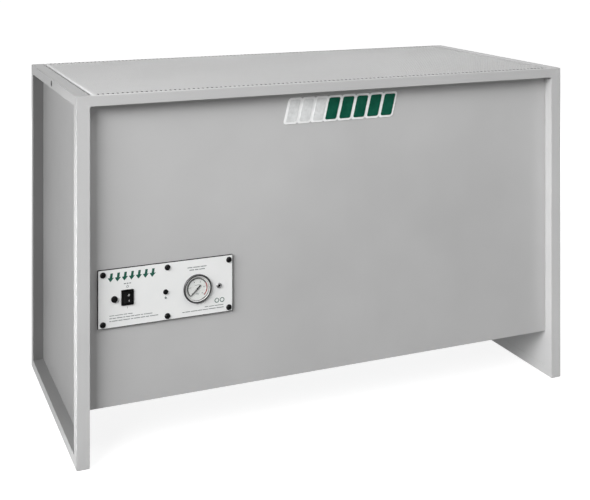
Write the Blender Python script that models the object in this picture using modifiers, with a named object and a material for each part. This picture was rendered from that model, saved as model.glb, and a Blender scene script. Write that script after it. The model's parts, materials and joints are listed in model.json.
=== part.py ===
"""Downdraught extraction bench: a steel cabinet between two end frames, with a lift-out
worktop, filters under it, a centrifugal fan below them and a control plate.

Metres, +Z up. The origin is at floor level in the middle of the footprint, the front faces -Y.
"""

import math

import bmesh
import bpy
from mathutils import Matrix, Vector

# ---- driving dimensions ---------------------------------------------------------------
LENGTH = 1.300          # overall, along X
DEPTH = 0.670           # overall, along Y
HEIGHT = 0.840          # floor to worktop
FRAME_T = 0.030         # end frame thickness, along X
LEG_D = 0.030           # end frame legs, seen from the end
RAIL_H = 0.025          # end frame top rail and floor runner
EDGE_R = 0.0025         # rounding of the powder-coated edges
GAP = 0.0003            # clearance between neighbouring pieces
SHEET = 0.0020          # panel gauge

PANEL_SET = 0.030       # front and rear panels sit this far inside the outer faces
PANEL_BOTTOM = 0.120    # lower edge of the panels
WALL = 0.0030           # upstand of the front and rear rails
LEDGE = 0.0025          # ledge that carries the worktop
TOP_INSET = 0.039       # worktop edge from the outer end faces

DECK_Z = 0.640          # underside of the filter deck
FAN_PLATE_Z = 0.450     # underside of the fan plate

# ---- derived planes -------------------------------------------------------------------
X_OUT = LENGTH / 2
X_IN = X_OUT - FRAME_T          # inner face of the end frames
Y_OUT = DEPTH / 2
Y_PANEL = Y_OUT - PANEL_SET     # outer face of the front and rear panels
Y_IN = Y_PANEL - SHEET          # their inner face
Z_RAIL = HEIGHT - RAIL_H        # underside of the top rails
FIT_X = X_IN - GAP              # half length of what fits between the end frames
FIT_Y = Y_IN - GAP              # half depth of what fits between the panels

SIDES = (("left", -1), ("right", 1))
FRONT_CUT = (-0.330, -0.290)    # Y range of cutters through the front
REAR_CUT = (0.290, 0.320)       # and through the rear

# ---- places on the front and rear: (x, z) centres, and (x, z) half sizes ----------------
PLATE = (-0.43675, 0.36875)     # control plate
PLATE_HALF = (0.15975, 0.06625)
PLATE_Y = -0.3110               # its front face
PLATE_T = 0.0020
SEAT_Y = PLATE_Y - GAP          # seating plane of everything on the plate
WINDOW = (-0.436, 0.3675)       # opening behind the plate, and the box behind that
WINDOW_HALF = (0.140, 0.0465)

GAUGE = (-0.3634, 0.3660)
SWITCH = (-0.5295, 0.3675)
FUSE = (-0.5600, 0.3670)
SOUNDER = (-0.4400, 0.3680)
LAMP = (-0.4400, 0.3545)
PORT = (-0.3100, 0.3660)
SCREW_COLUMNS = (-0.5860, -0.4355, -0.2855)
SCREW_ROWS = (0.3110, 0.4245)

INLET = (-0.450, 0.205)         # mains inlet
EXHAUST = (0.0, 0.290)          # exhaust opening and grille
SUPPLY_EXIT = (INLET[0], 0.330)     # cable holes in the back of the control box
MOTOR_EXIT = (-0.330, 0.330)
TUBE_Y = -0.240                 # upright run of the pressure tube, above the gauge

# ---- start from nothing ---------------------------------------------------------------
for old in list(bpy.data.objects):
    bpy.data.objects.remove(old, do_unlink=True)

parts = bpy.data.collections.new("downdraught_bench")
cutters = bpy.data.collections.new("cutters")
bpy.context.scene.collection.children.link(parts)
bpy.context.scene.collection.children.link(cutters)


# ---- materials ------------------------------------------------------------------------
def material(name, colour, roughness, metallic=0.0, alpha=1.0):
    made = bpy.data.materials.new(name)
    made.use_nodes = True
    inputs = made.node_tree.nodes["Principled BSDF"].inputs
    inputs["Base Color"].default_value = (*colour, 1.0)
    inputs["Roughness"].default_value = roughness
    inputs["Metallic"].default_value = metallic
    inputs["Alpha"].default_value = alpha
    made.diffuse_color = (*colour, alpha)
    return made


COAT = material("coat_grey", colour=(0.52, 0.53, 0.53), roughness=0.42)
TOPCOAT = material("worktop_grey", colour=(0.55, 0.56, 0.56), roughness=0.45)
ZINC = material("zinc_sheet", colour=(0.60, 0.62, 0.64), roughness=0.38, metallic=0.9)
STEEL = material("bright_steel", colour=(0.62, 0.62, 0.63), roughness=0.28, metallic=1.0)
WHITE = material("plate_white", colour=(0.78, 0.79, 0.78), roughness=0.45)
DIAL = material("dial_white", colour=(0.85, 0.85, 0.82), roughness=0.5)
GREEN = material("badge_green", colour=(0.01, 0.13, 0.09), roughness=0.4)
BLACK = material("moulded_black", colour=(0.02, 0.02, 0.021), roughness=0.42)
RUBBER = material("rubber_black", colour=(0.018, 0.018, 0.018), roughness=0.8)
GLASS = material("clear_glass", colour=(0.9, 0.93, 0.93), roughness=0.04, alpha=0.3)
FLEECE = material("filter_fleece", colour=(0.80, 0.82, 0.80), roughness=0.95)
MEDIA = material("pleated_media", colour=(0.74, 0.74, 0.70), roughness=0.95)
CARD = material("filter_frame_board", colour=(0.60, 0.52, 0.38), roughness=0.85)
MOTOR = material("motor_paint", colour=(0.06, 0.07, 0.08), roughness=0.45)
TUBE = material("clear_tube", colour=(0.70, 0.74, 0.76), roughness=0.25)


# ---- shapes ---------------------------------------------------------------------------
def add(name, data, coat):
    piece = bpy.data.objects.new(name, data)
    parts.objects.link(piece)
    if coat:
        data.materials.append(coat)
    return piece


def add_shape(name, shape, coat):
    """Turns a bmesh into an object and frees it."""
    mesh = bpy.data.meshes.new(name)
    shape.to_mesh(mesh)
    shape.free()
    return add(name, mesh, coat)


def box(name, low, high, coat=None, radius=0.0, pick=lambda edge: True, segments=2):
    """A box with its origin at the middle; the radius rounds the edges that pick accepts."""
    low, high = Vector(low), Vector(high)
    shape = bmesh.new()
    bmesh.ops.create_cube(shape, size=1.0)
    bmesh.ops.scale(shape, vec=high - low, verts=shape.verts)
    if radius:
        edges = [edge for edge in shape.edges if pick(edge)]
        bmesh.ops.bevel(
            shape, geom=edges, offset=radius, segments=segments, profile=0.5, affect="EDGES"
        )
    piece = add_shape(name, shape, coat)
    piece.location = (low + high) / 2
    return piece


def block(name, place, half, y_range, coat=None, **rounding):
    """A box given by its (x, z) centre and half size, between two Y planes."""
    low = (place[0] - half[0], y_range[0], place[1] - half[1])
    high = (place[0] + half[0], y_range[1], place[1] + half[1])
    return box(name, low, high, coat, **rounding)


def rounded_plate(name, place, half, y_range, coat, radius):
    """A block with only its four corner edges, along Y, rounded."""
    def along_y(edge):
        return abs(edge.verts[0].co.y - edge.verts[1].co.y) > 1e-6

    return block(name, place, half, y_range, coat, radius=radius, pick=along_y, segments=3)


def cabinet_sheet(name, z):
    """A zinc sheet that fills the cabinet's plan, with its underside at z."""
    return box(name, (-FIT_X, -FIT_Y, z), (FIT_X, FIT_Y, z + SHEET), ZINC)


def cylinder(name, radius, z0, z1, coat=None, segments=24):
    """An upright cylinder round the object's own Z."""
    shape = bmesh.new()
    bmesh.ops.create_cone(
        shape, cap_ends=True, segments=segments, radius1=radius, radius2=radius, depth=z1 - z0
    )
    bmesh.ops.translate(shape, vec=(0, 0, (z0 + z1) / 2), verts=shape.verts)
    return add_shape(name, shape, coat)


def lathe(name, profile, coat, steps=32):
    """A turned shape: (radius, height) points swept by a Screw modifier. A profile that
    starts off the axis is closed into a ring."""
    edges = [(i, i + 1) for i in range(len(profile) - 1)]
    if profile[0][0] > 1e-6:
        edges.append((len(profile) - 1, 0))
    mesh = bpy.data.meshes.new(name)
    mesh.from_pydata([(radius, 0, z) for radius, z in profile], edges, [])
    piece = add(name, mesh, coat)
    turn = piece.modifiers.new("turn", "SCREW")
    turn.angle = math.tau
    turn.steps = turn.render_steps = steps
    turn.use_merge_vertices = True
    turn.merge_threshold = 0.00001
    turn.use_smooth_shade = False
    return piece


def poly_spline(curve, points):
    spline = curve.splines.new("POLY")
    spline.points.add(len(points) - 1)
    for target, point in zip(spline.points, points):
        target.co = (*point, 1)
    return spline


def prism(name, outline, x0, x1, coat):
    """A section of (y, z) points, run along X."""
    curve = bpy.data.curves.new(name, "CURVE")
    curve.dimensions = "2D"
    curve.fill_mode = "BOTH"
    curve.extrude = (x1 - x0) / 2
    poly_spline(curve, [(y, z, 0) for y, z in outline]).use_cyclic_u = True
    source = bpy.data.objects.new(name + "_outline", curve)
    parts.objects.link(source)
    bpy.context.view_layer.update()
    depsgraph = bpy.context.evaluated_depsgraph_get()
    mesh = bpy.data.meshes.new_from_object(source.evaluated_get(depsgraph))
    bpy.data.objects.remove(source, do_unlink=True)
    shape = bmesh.new()
    shape.from_mesh(mesh)
    bpy.data.meshes.remove(mesh)
    bmesh.ops.remove_doubles(shape, verts=shape.verts, dist=0.00001)
    # the outline's own X becomes world Y, its Y world Z and its thickness world X
    shape.transform(Matrix(((0, 0, 1, 0), (1, 0, 0, 0), (0, 1, 0, 0), (0, 0, 0, 1))))
    bmesh.ops.recalc_face_normals(shape, faces=shape.faces)
    # guards against a shell that came out facing inwards
    if shape.calc_volume(signed=True) < 0:
        bmesh.ops.reverse_faces(shape, faces=shape.faces)
    piece = add_shape(name, shape, coat)
    piece.location = ((x0 + x1) / 2, 0, 0)
    return piece


def wire(name, points, radius, coat):
    """A round cable or tube through corner points, each corner eased by one midpoint."""
    corners = [Vector(point) for point in points]
    path = [corners[0]]
    for before, corner, after in zip(corners, corners[1:], corners[2:]):
        ease = min((corner - before).length, (after - corner).length) * 0.35
        enter = corner + (before - corner).normalized() * ease
        leave = corner + (after - corner).normalized() * ease
        path += [enter, (enter + leave + 2 * corner) / 4, leave]
    path.append(corners[-1])
    curve = bpy.data.curves.new(name, "CURVE")
    curve.dimensions = "3D"
    curve.bevel_depth = radius
    curve.bevel_resolution = 2
    curve.use_fill_caps = True
    poly_spline(curve, path)
    add(name, curve, coat)


# ---- placing, cutting and joining -------------------------------------------------------
def face_front(piece, place, y=0.0):
    """Turns an upright piece so that its +Z points out of the front of the bench (-Y)."""
    piece.rotation_euler = (math.radians(90), 0, 0)
    piece.location = (place[0], y, place[1])
    return piece


def fitting(name, profile, coat, steps, place):
    """A turned piece on the control plate: (radius, distance out of the seating plane)."""
    return face_front(lathe(name, profile, coat, steps), place, SEAT_Y)


def boolean(piece, tool, operation="DIFFERENCE"):
    """Applies the tool to the piece and moves it in with the hidden cutters."""
    parts.objects.unlink(tool)
    cutters.objects.link(tool)
    tool.hide_render = True
    tool.display_type = "WIRE"
    modifier = piece.modifiers.new(operation.lower(), "BOOLEAN")
    modifier.operation = operation
    modifier.object = tool
    modifier.solver = "EXACT"


def join(piece, tool):
    boolean(piece, tool, "UNION")


def cut_box(piece, low, high):
    boolean(piece, box("cut_" + piece.name, low, high))


def cut_window(piece, place, half, y_range=FRONT_CUT):
    """A rectangular opening along Y."""
    boolean(piece, block("cut_" + piece.name, place, half, y_range))


def cut_hole(piece, radius, place, segments, y_range=FRONT_CUT):
    """A round hole along Y."""
    hole = cylinder("hole_" + piece.name, radius, -y_range[1], -y_range[0], None, segments)
    boolean(piece, face_front(hole, place))


def cut_bore(piece, name, radius, z0, z1, segments, x=0.0, y=0.0):
    """A round hole along Z."""
    bore = cylinder(name, radius, z0, z1, None, segments)
    bore.location = (x, y, 0)
    boolean(piece, bore)


# ---- end frames -----------------------------------------------------------------------
INSERT_PROFILE = [(0.0040, 0.0), (0.0060, 0.0), (0.0060, -0.0130), (0.0040, -0.0130)]


def point_outwards(piece, side):
    """Lays an upright piece in the end face, half way along the top rail."""
    piece.rotation_euler = (0, math.radians(90 * side), 0)
    piece.location = (side * X_OUT, 0, HEIGHT - RAIL_H / 2)


def end_frame(name, side):
    """A ring of square tube. Its outer edges and its foot are rounded; the other edges on
    the inner side stay sharp, where the rails meet it."""
    def rounded(edge):
        on_inner_side = all(vert.co.x * side < 0 for vert in edge.verts)
        return not on_inner_side or all(vert.co.z < 0 for vert in edge.verts)

    x0, x1 = sorted((side * X_IN, side * X_OUT))
    frame = box(
        name, (x0, -Y_OUT, 0), (x1, Y_OUT, HEIGHT), COAT, radius=EDGE_R, pick=rounded
    )
    reach = 0.06
    leg_y = Y_OUT - LEG_D
    cut_box(frame, (side * X_OUT - reach, -leg_y, RAIL_H), (side * X_OUT + reach, leg_y, Z_RAIL))
    seat = cylinder("seat_" + name, 0.0063, -0.014, 0.02, None, 16)
    point_outwards(seat, side)
    boolean(frame, seat)


def cabinet_end(label, side):
    """An end frame, the panel inside it and the bored bush in its top rail."""
    end_frame(label + "_end_frame", side)
    x0, x1 = sorted((side * (X_IN + GAP), side * (X_IN + GAP + SHEET)))
    panel_y = Y_OUT - LEG_D - GAP
    box(
        label + "_end_panel",
        (x0, -panel_y, RAIL_H + GAP), (x1, panel_y, Z_RAIL - GAP), COAT,
    )
    point_outwards(lathe(label + "_rail_insert", INSERT_PROFILE, STEEL, 16), side)


# ---- front and rear rails and side ledges, which carry the worktop ------------------------
LEDGE_X = 0.600         # inner edge of the side ledges


def rail(name, side):
    """An L-section; side is -1 for the front rail and +1 for the rear one."""
    arc = [
        (
            side * (Y_OUT - EDGE_R + EDGE_R * math.sin(angle)),
            HEIGHT - EDGE_R + EDGE_R * math.cos(angle),
        )
        for angle in (0, math.pi / 4, math.pi / 2)
    ]
    upstand = side * (Y_OUT - WALL)
    ledge = [(side * Y_IN, Z_RAIL), (side * Y_IN, Z_RAIL + LEDGE)]
    outline = ledge + [(upstand, Z_RAIL + LEDGE), (upstand, HEIGHT)] + arc
    prism(name, outline + [(side * Y_OUT, Z_RAIL)], -FIT_X, FIT_X, COAT)


def side_ledge(label, side):
    x0, x1 = sorted((side * LEDGE_X, side * FIT_X))
    box(label + "_ledge", (x0, -FIT_Y, Z_RAIL), (x1, FIT_Y, Z_RAIL + LEDGE), COAT)


# ---- cabinet panels -------------------------------------------------------------------
GRILLE_SLOTS = 9
SLOT_Z = 0.187          # middle of the lowest slot
SLOT_PITCH = 0.0265


def cabinet_panel(name, y0, y1):
    return box(name, (-FIT_X, y0, PANEL_BOTTOM), (FIT_X, y1, Z_RAIL - GAP), COAT)


def make_front_panel():
    panel = cabinet_panel("front_panel", -Y_PANEL, -Y_IN)
    cut_window(panel, WINDOW, WINDOW_HALF)
    return panel


def rear_panel():
    panel = cabinet_panel("rear_panel", Y_IN, Y_PANEL)
    cut_window(panel, EXHAUST, (0.210, 0.125), REAR_CUT)
    cut_window(panel, INLET, (0.022, 0.017), REAR_CUT)


def exhaust_grille():
    y_range = (Y_PANEL + GAP, Y_PANEL + GAP + SHEET)
    grille = block("exhaust_grille", EXHAUST, (0.235, 0.145), y_range, COAT)
    for i in range(GRILLE_SLOTS):
        cut_window(grille, (EXHAUST[0], SLOT_Z + i * SLOT_PITCH), (0.200, 0.005), REAR_CUT)


# ---- filter deck, gasket and filter cells -----------------------------------------------
FILTER_SIDE = 0.595     # square filter cell
FILTER_X = 0.300        # cell centres, left and right of the middle
FILTER_WALL = 0.018     # frame board
SEAL_Z = DECK_Z + SHEET + GAP
SEAL_TOP = SEAL_Z + 0.006
CELL_Z = SEAL_TOP + GAP
CELL_TOP = CELL_Z + 0.096
MEDIA_SET = 0.004       # media from the top and bottom of its frame
MAT_HALF = (0.597, 0.297)
MAT_Z = CELL_TOP + 0.001
MAT_T = 0.025


def cell_corners(x, inset, z0, z1):
    """Low and high corners of a filter cell's square, drawn in by the inset."""
    half = FILTER_SIDE / 2 - inset
    return (x - half, -half, z0), (x + half, half, z1)


def filters():
    deck = cabinet_sheet("filter_deck", DECK_Z)
    half = FILTER_SIDE / 2
    seal = box(
        "filter_gasket",
        (-FILTER_X - half, -half, SEAL_Z), (FILTER_X + half, half, SEAL_TOP), RUBBER,
    )
    for label, side in SIDES:
        x = side * FILTER_X
        cut_box(deck, *cell_corners(x, 0.025, 0.6, 0.7))
        cut_box(seal, *cell_corners(x, 0.012, 0.6, 0.7))
        frame = box(label + "_filter_frame", *cell_corners(x, 0, CELL_Z, CELL_TOP), CARD)
        cut_box(frame, *cell_corners(x, FILTER_WALL, 0.6, 0.8))
        media = cell_corners(x, FILTER_WALL + GAP, CELL_Z + MEDIA_SET, CELL_TOP - MEDIA_SET)
        box(label + "_filter_media", *media, MEDIA)
    x, y = MAT_HALF
    box("prefilter_mat", (-x, -y, MAT_Z), (x, y, MAT_Z + MAT_T), FLEECE)


# ---- worktop: a folded tray, flanges down, with a rib across its middle -------------------
TOP_X = X_OUT - TOP_INSET       # half length
TOP_Y = Y_OUT - WALL - GAP      # half depth
TOP_T = 0.0020                  # sheet thickness
TOP_Z = Z_RAIL + LEDGE + GAP    # lower edge of the flanges
RIB_HALF = 0.0015


def worktop():
    top = box("worktop", (-TOP_X, -TOP_Y, TOP_Z), (TOP_X, TOP_Y, HEIGHT), TOPCOAT)
    x, y = TOP_X - TOP_T, TOP_Y - TOP_T
    cut_box(top, (-x, -y, TOP_Z - 0.01), (x, y, HEIGHT - TOP_T))
    box(
        "worktop_rib",
        (-RIB_HALF, -y + GAP, TOP_Z), (RIB_HALF, y - GAP, HEIGHT - TOP_T - GAP), COAT,
    )


# ---- fan: plate, bell-mouth, impeller on its shaft, motor on a sprung stand ---------------
THROAT_R = 0.085
THROAT_Z = 0.414        # lower end of the bell-mouth
FLARE_Z = 0.426         # where it starts to widen
FLARE_R = 0.020         # how far it widens
FLANGE_R = 0.135

IMPELLER_R = 0.140
BACK_Z = 0.330          # underside of the impeller's back plate
BLADES = 7
BLADE_RING_R = 0.108    # blade centres
BLADE_HALF = (0.036, 0.0012)    # half length and half thickness
BLADE_SWEEP = math.radians(48)  # blade against the radius
SHROUD_Z = 0.3985
COLLAR_R = 0.0905

LEG_PLACE = 0.088       # stand legs from the fan axis, along X and Y
LEG_HALF = 0.008
STAND_HALF = 0.100
STAND_CORNERS = (
    ("front_left", -1, -1), ("front_right", 1, -1), ("rear_right", 1, 1), ("rear_left", -1, 1),
)

# (radius, z)
MOTOR_PROFILE = [
    (0, 0.3180), (0.0300, 0.3180), (0.0340, 0.3140), (0.0600, 0.3120),
    (0.0640, 0.3080), (0.0640, 0.2600), (0.0600, 0.2500), (0, 0.2500),
]
MOUNT_PROFILE = [
    (0, 0.1397), (0.0140, 0.1397), (0.0140, 0.1370), (0.0105, 0.1345),
    (0.0105, 0.1290), (0.0140, 0.1263), (0.0140, 0.1233), (0, 0.1233),
]


def fan_plate():
    plate = cabinet_sheet("fan_plate", FAN_PLATE_Z)
    cut_bore(plate, "cut_fan_plate", 0.108, 0.44, 0.46, 32)
    cut_bore(plate, "cut_tube_hole", 0.006, 0.44, 0.46, 16, GAUGE[0], TUBE_Y)


def bell_mouth():
    """Widens in a quarter ellipse from the throat out to a flange on the fan plate."""
    flange_z = FAN_PLATE_Z + SHEET + GAP
    flare_height = flange_z + SHEET - FLARE_Z

    def flare(angle, wall):
        """A point of the inner skin, moved out by the wall."""
        out = Vector((flare_height * math.cos(angle), -FLARE_R * math.sin(angle)))
        out = out.normalized() * wall
        radius = THROAT_R + FLARE_R * (1 - math.cos(angle))
        return radius + out.x, FLARE_Z + flare_height * math.sin(angle) + out.y

    angles = [math.pi / 2 * i / 4 for i in range(5)]
    inner = [(THROAT_R, THROAT_Z)] + [flare(angle, 0.0) for angle in angles]
    flange = [(FLANGE_R, flange_z + SHEET), (FLANGE_R, flange_z)]
    outer = [flare(angle, SHEET) for angle in reversed(angles)]
    profile = inner + flange + outer + [(THROAT_R + SHEET, THROAT_Z)]
    lathe("fan_inlet_ring", profile, ZINC)


def impeller():
    wheel = cylinder("fan_impeller", IMPELLER_R, BACK_Z, BACK_Z + 0.002, STEEL, 40)
    x, y = BLADE_HALF
    for i in range(BLADES):
        blade = box("blade_%d" % i, (-x, -y, BACK_Z + 0.001), (x, y, SHROUD_Z + 0.001))
        angle = math.tau * i / BLADES
        blade.rotation_euler = (0, 0, angle + BLADE_SWEEP)
        blade.location.x = BLADE_RING_R * math.cos(angle)
        blade.location.y = BLADE_RING_R * math.sin(angle)
        join(wheel, blade)
    join(wheel, cylinder("shroud", IMPELLER_R, SHROUD_Z, SHROUD_Z + 0.002, segments=40))
    join(wheel, cylinder("collar", COLLAR_R, 0.3990, 0.4190, segments=40))
    cut_bore(wheel, "eye", COLLAR_R - 0.002, 0.3960, 0.4250, 40)
    join(wheel, cylinder("hub", 0.026, 0.3225, BACK_Z + 0.016))
    cut_bore(wheel, "hub_bore", 0.0063, 0.31, 0.36, 16)


def fan_motor():
    cylinder("fan_shaft", 0.0060, 0.2920, 0.3470, STEEL, 16)
    motor = lathe("fan_motor", MOTOR_PROFILE, MOTOR)
    cut_bore(motor, "motor_bore", 0.0065, 0.2880, 0.33, 16)


def motor_stand():
    """A plate on four legs, each on a waisted rubber mount."""
    half = STAND_HALF
    stand = box("motor_stand", (-half, -half, 0.2430), (half, half, 0.2497), ZINC)
    for i, (label, side_x, side_y) in enumerate(STAND_CORNERS):
        x, y = side_x * LEG_PLACE, side_y * LEG_PLACE
        leg = box(
            "stand_leg_%d" % i,
            (x - LEG_HALF, y - LEG_HALF, 0.1400), (x + LEG_HALF, y + LEG_HALF, 0.2450),
        )
        join(stand, leg)
        mount = lathe(label + "_motor_mount", MOUNT_PROFILE, RUBBER, 16)
        mount.location = (x, y, 0)


# ---- control plate, its gasket, its six screws and the box behind it -----------------------
GASKET_INSET = 0.0005
BOX_HALF = (0.144, 0.052)
BOX_BACK = -0.215
BOX_WALL = 0.0015

# round holes after the gauge and switch openings: place, radius, segments
SMALL_HOLES = (
    (FUSE, 0.0065, 16), (SOUNDER, 0.0050, 16), (LAMP, 0.0023, 12), (PORT, 0.0048, 16),
)
SCREW_PROFILE = [
    (0, 0.0040), (0.0030, 0.0036), (0.0052, 0.0024), (0.0063, 0.0008),
    (0.0065, 0.0), (0.0025, 0.0), (0.0025, -0.0112), (0, -0.0112),
]


def plate_gasket():
    half = [size - GASKET_INSET for size in PLATE_HALF]
    y_range = (PLATE_Y + PLATE_T + GAP, -Y_PANEL - GAP)
    gasket = rounded_plate("plate_gasket", PLATE, half, y_range, RUBBER, 0.0010)
    cut_window(gasket, WINDOW, WINDOW_HALF)
    return gasket


def control_plate():
    y_range = (PLATE_Y, PLATE_Y + PLATE_T)
    plate = rounded_plate("control_plate", PLATE, PLATE_HALF, y_range, WHITE, 0.0006)
    cut_hole(plate, 0.0307, GAUGE, 32)
    cut_window(plate, SWITCH, (0.0114, 0.0150))
    for place, radius, segments in SMALL_HOLES:
        cut_hole(plate, radius, place, segments)
    return plate


def plate_screws(sheets):
    """Six screws, and their holes through all the sheets."""
    for row, z in zip(("lower", "upper"), SCREW_ROWS):
        for column, x in zip(("left", "middle", "right"), SCREW_COLUMNS):
            for sheet in sheets:
                cut_hole(sheet, 0.0029, (x, z), 12)
            fitting(f"plate_screw_{row}_{column}", SCREW_PROFILE, BLACK, 16, (x, z))


def control_box():
    """Open towards the plate."""
    case = block("control_box", WINDOW, BOX_HALF, (-FIT_Y, BOX_BACK), ZINC)
    hollow = [size - BOX_WALL for size in BOX_HALF]
    cut_window(case, WINDOW, hollow, (-0.32, BOX_BACK - BOX_WALL))
    cut_bore(case, "cut_tube_exit", 0.0045, 0.41, 0.43, 12, GAUGE[0], TUBE_Y)
    for place in (SUPPLY_EXIT, MOTOR_EXIT):
        cut_hole(case, 0.0056, place, 12, (-0.225, -0.205))


# ---- switch ---------------------------------------------------------------------------
ROCK = math.radians(10)
# (y, z) from the pivot
ROCKER_SECTION = [
    (-0.0046, -0.0128), (-0.0030, -0.0060), (-0.0026, 0.0), (-0.0030, 0.0060),
    (-0.0046, 0.0128), (-0.0010, 0.0128), (0.0040, 0.0095), (0.0040, -0.0095),
    (-0.0010, -0.0128),
]


def switch():
    flange_y = (SEAT_Y - 0.0020, SEAT_Y)
    barrel_y = (SEAT_Y - 0.0005, SEAT_Y + 0.0260)
    body = block("switch_body", SWITCH, (0.0145, 0.0180), flange_y, BLACK)
    join(body, block("switch_barrel", SWITCH, (0.0110, 0.0146), barrel_y))
    cut_window(body, SWITCH, (0.0100, 0.0140), (SEAT_Y - 0.01, SEAT_Y + 0.0100))
    rocker = prism("switch_rocker", ROCKER_SECTION, -0.0097, 0.0097, BLACK)
    rocker.rotation_euler = (-ROCK, 0, 0)   # the upper half is pressed in
    rocker.location = (SWITCH[0], SEAT_Y - 0.0010, SWITCH[1])


# ---- turned fittings: (radius, distance out of the seating plane) --------------------------
SOCKET_PROFILE = [(0.0031, -0.0012), (0.0060, -0.0012), (0.0060, -0.0300), (0.0031, -0.0300)]
CAP_PROFILE = [
    (0, 0.0062), (0.0060, 0.0062), (0.0073, 0.0050), (0.0075, 0.0002),
    (0.0026, 0.0002), (0.0026, -0.0012), (0, -0.0012),
]
SOUNDER_PROFILE = [
    (0, 0.0032), (0.0046, 0.0032), (0.0060, 0.0018), (0.0060, 0.0),
    (0.0046, 0.0), (0.0046, -0.0100), (0, -0.0100),
]
LAMP_PROFILE = [
    (0, 0.0018), (0.0014, 0.0014), (0.0024, 0.0), (0.0021, 0.0), (0.0021, -0.0060), (0, -0.0060),
]
PORT_PROFILE = [
    (0, -0.0060), (0.0026, -0.0060), (0.0026, 0.0030), (0.0052, 0.0030), (0.0062, 0.0020),
    (0.0062, 0.0), (0.0045, 0.0), (0.0045, -0.0120), (0, -0.0120),
]


def fuse_carrier():
    """A socket in the plate, a slotted cap and the fuse it carries."""
    fitting("fuse_socket", SOCKET_PROFILE, BLACK, 20, FUSE)
    cap = fitting("fuse_cap", CAP_PROFILE, BLACK, 20, FUSE)
    slot = box("cap_slot", (-0.0010, -0.0050, 0.0050), (0.0010, 0.0050, 0.0080))
    slot.rotation_euler = (math.radians(90), math.radians(35), 0)
    slot.location = (FUSE[0], SEAT_Y - 0.0065, FUSE[1])
    boolean(cap, slot)
    face_front(cylinder("fuse_link", 0.0026, -0.0215, -0.0015, GLASS, 16), FUSE, SEAT_Y)


def small_fittings():
    fitting("alarm_sounder", SOUNDER_PROFILE, BLACK, 24, SOUNDER)
    fitting("status_lamp", LAMP_PROFILE, GREEN, 16, LAMP)
    fitting("test_port", PORT_PROFILE, STEEL, 24, PORT)


# ---- gauge ----------------------------------------------------------------------------
CASE_PROFILE = [
    (0, -0.0012), (0.0286, -0.0012), (0.0286, 0.0034), (0.0302, 0.0034), (0.0302, -0.0300),
    (0.0050, -0.0320), (0.0050, -0.0410), (0, -0.0410),
]
BEZEL_PROFILE = [
    (0.0285, 0.0046), (0.0300, 0.0056), (0.0318, 0.0058), (0.0336, 0.0040),
    (0.0340, 0.0), (0.0305, 0.0), (0.0305, 0.0040), (0.0285, 0.0040),
]
DIAL_PROFILE = [(0.0016, 0.0), (0.0282, 0.0), (0.0282, -0.0007), (0.0016, -0.0007)]
LENS_PROFILE = [(0, 0.0044), (0.0282, 0.0044), (0.0282, 0.0034), (0, 0.0034)]
NEEDLE_REST = math.radians(225)     # clockwise from straight up


def gauge():
    case = fitting("gauge_case", CASE_PROFILE, STEEL, 32, GAUGE)
    for name, radius, z0, z1 in (
        ("nipple_bore", 0.0022, -0.0500, -0.0330),
        ("spindle_bore", 0.0014, -0.0120, 0.0100),
    ):
        bore = cylinder(name, radius, z0, z1, segments=12)
        boolean(case, face_front(bore, GAUGE, SEAT_Y))
    fitting("gauge_bezel", BEZEL_PROFILE, STEEL, 40, GAUGE)
    fitting("gauge_dial", DIAL_PROFILE, DIAL, 32, GAUGE)
    fitting("gauge_lens", LENS_PROFILE, GLASS, 32, GAUGE)


def gauge_needle():
    """A boss with a pointer and a spindle that turn with it."""
    needle = cylinder("gauge_needle", 0.0030, 0.0014, 0.0030, BLACK, 20)
    pointer = box("pointer", (-0.0006, -0.0080, 0.0016), (0.0006, 0.0230, 0.0023))
    spindle = cylinder("spindle", 0.0010, -0.0074, 0.0021, segments=12)
    for tool in (pointer, spindle):
        join(needle, tool)
        tool.parent = needle
    needle.rotation_euler = (math.radians(90), NEEDLE_REST, 0)
    needle.location = (GAUGE[0], SEAT_Y, GAUGE[1])


# ---- mains inlet, tube and cables -------------------------------------------------------
# (y, z), from the inlet forward to the control box
SUPPLY_ROUTE = [
    (0.2745, INLET[1]), (0.200, INLET[1]), (0.180, 0.135),
    (-0.150, 0.135), (-0.170, SUPPLY_EXIT[1]), (-0.225, SUPPLY_EXIT[1]),
]
# (x, y, z), from the control box to the side of the motor
MOTOR_ROUTE = [
    (MOTOR_EXIT[0], -0.225, MOTOR_EXIT[1]), (MOTOR_EXIT[0], -0.180, MOTOR_EXIT[1]),
    (MOTOR_EXIT[0], -0.150, 0.290), (-0.150, -0.100, 0.285),
    (-0.110, 0.0, 0.280), (-0.0645, 0.0, 0.280),
]


def mains_inlet():
    flange_y = (Y_PANEL + GAP, Y_PANEL + 0.0043)
    inlet = block("mains_inlet", INLET, (0.025, 0.020), flange_y, BLACK, radius=0.001)
    join(inlet, block("inlet_body", INLET, (0.020, 0.015), (0.2750, Y_PANEL + 0.0020)))
    cut_window(inlet, INLET, (0.014, 0.009), (0.2900, 0.3300))


def pressure_tube():
    x, z = GAUGE
    wire("pressure_tube", [(x, SEAT_Y + 0.0425, z), (x, TUBE_Y, z), (x, TUBE_Y, 0.520)], 0.0028, TUBE)


def cables():
    wire("supply_cable", [(INLET[0], y, z) for y, z in SUPPLY_ROUTE], 0.0040, BLACK)
    wire("motor_cable", MOTOR_ROUTE, 0.0035, BLACK)


def front_badge():
    """A plain plate on the front panel."""
    y_range = (-Y_PANEL - 0.0018, -Y_PANEL - GAP)
    rounded_plate("front_badge", (0.004, 0.7715), (0.152, 0.0365), y_range, WHITE, 0.012)


# ---- build ----------------------------------------------------------------------------
for label, side in SIDES:
    cabinet_end(label, side)
rail("front_rail", -1)
rail("rear_rail", 1)
for label, side in SIDES:
    side_ledge(label, side)

front_panel = make_front_panel()
rear_panel()
exhaust_grille()
cabinet_sheet("base_pan", PANEL_BOTTOM + 0.001)
filters()
worktop()

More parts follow.
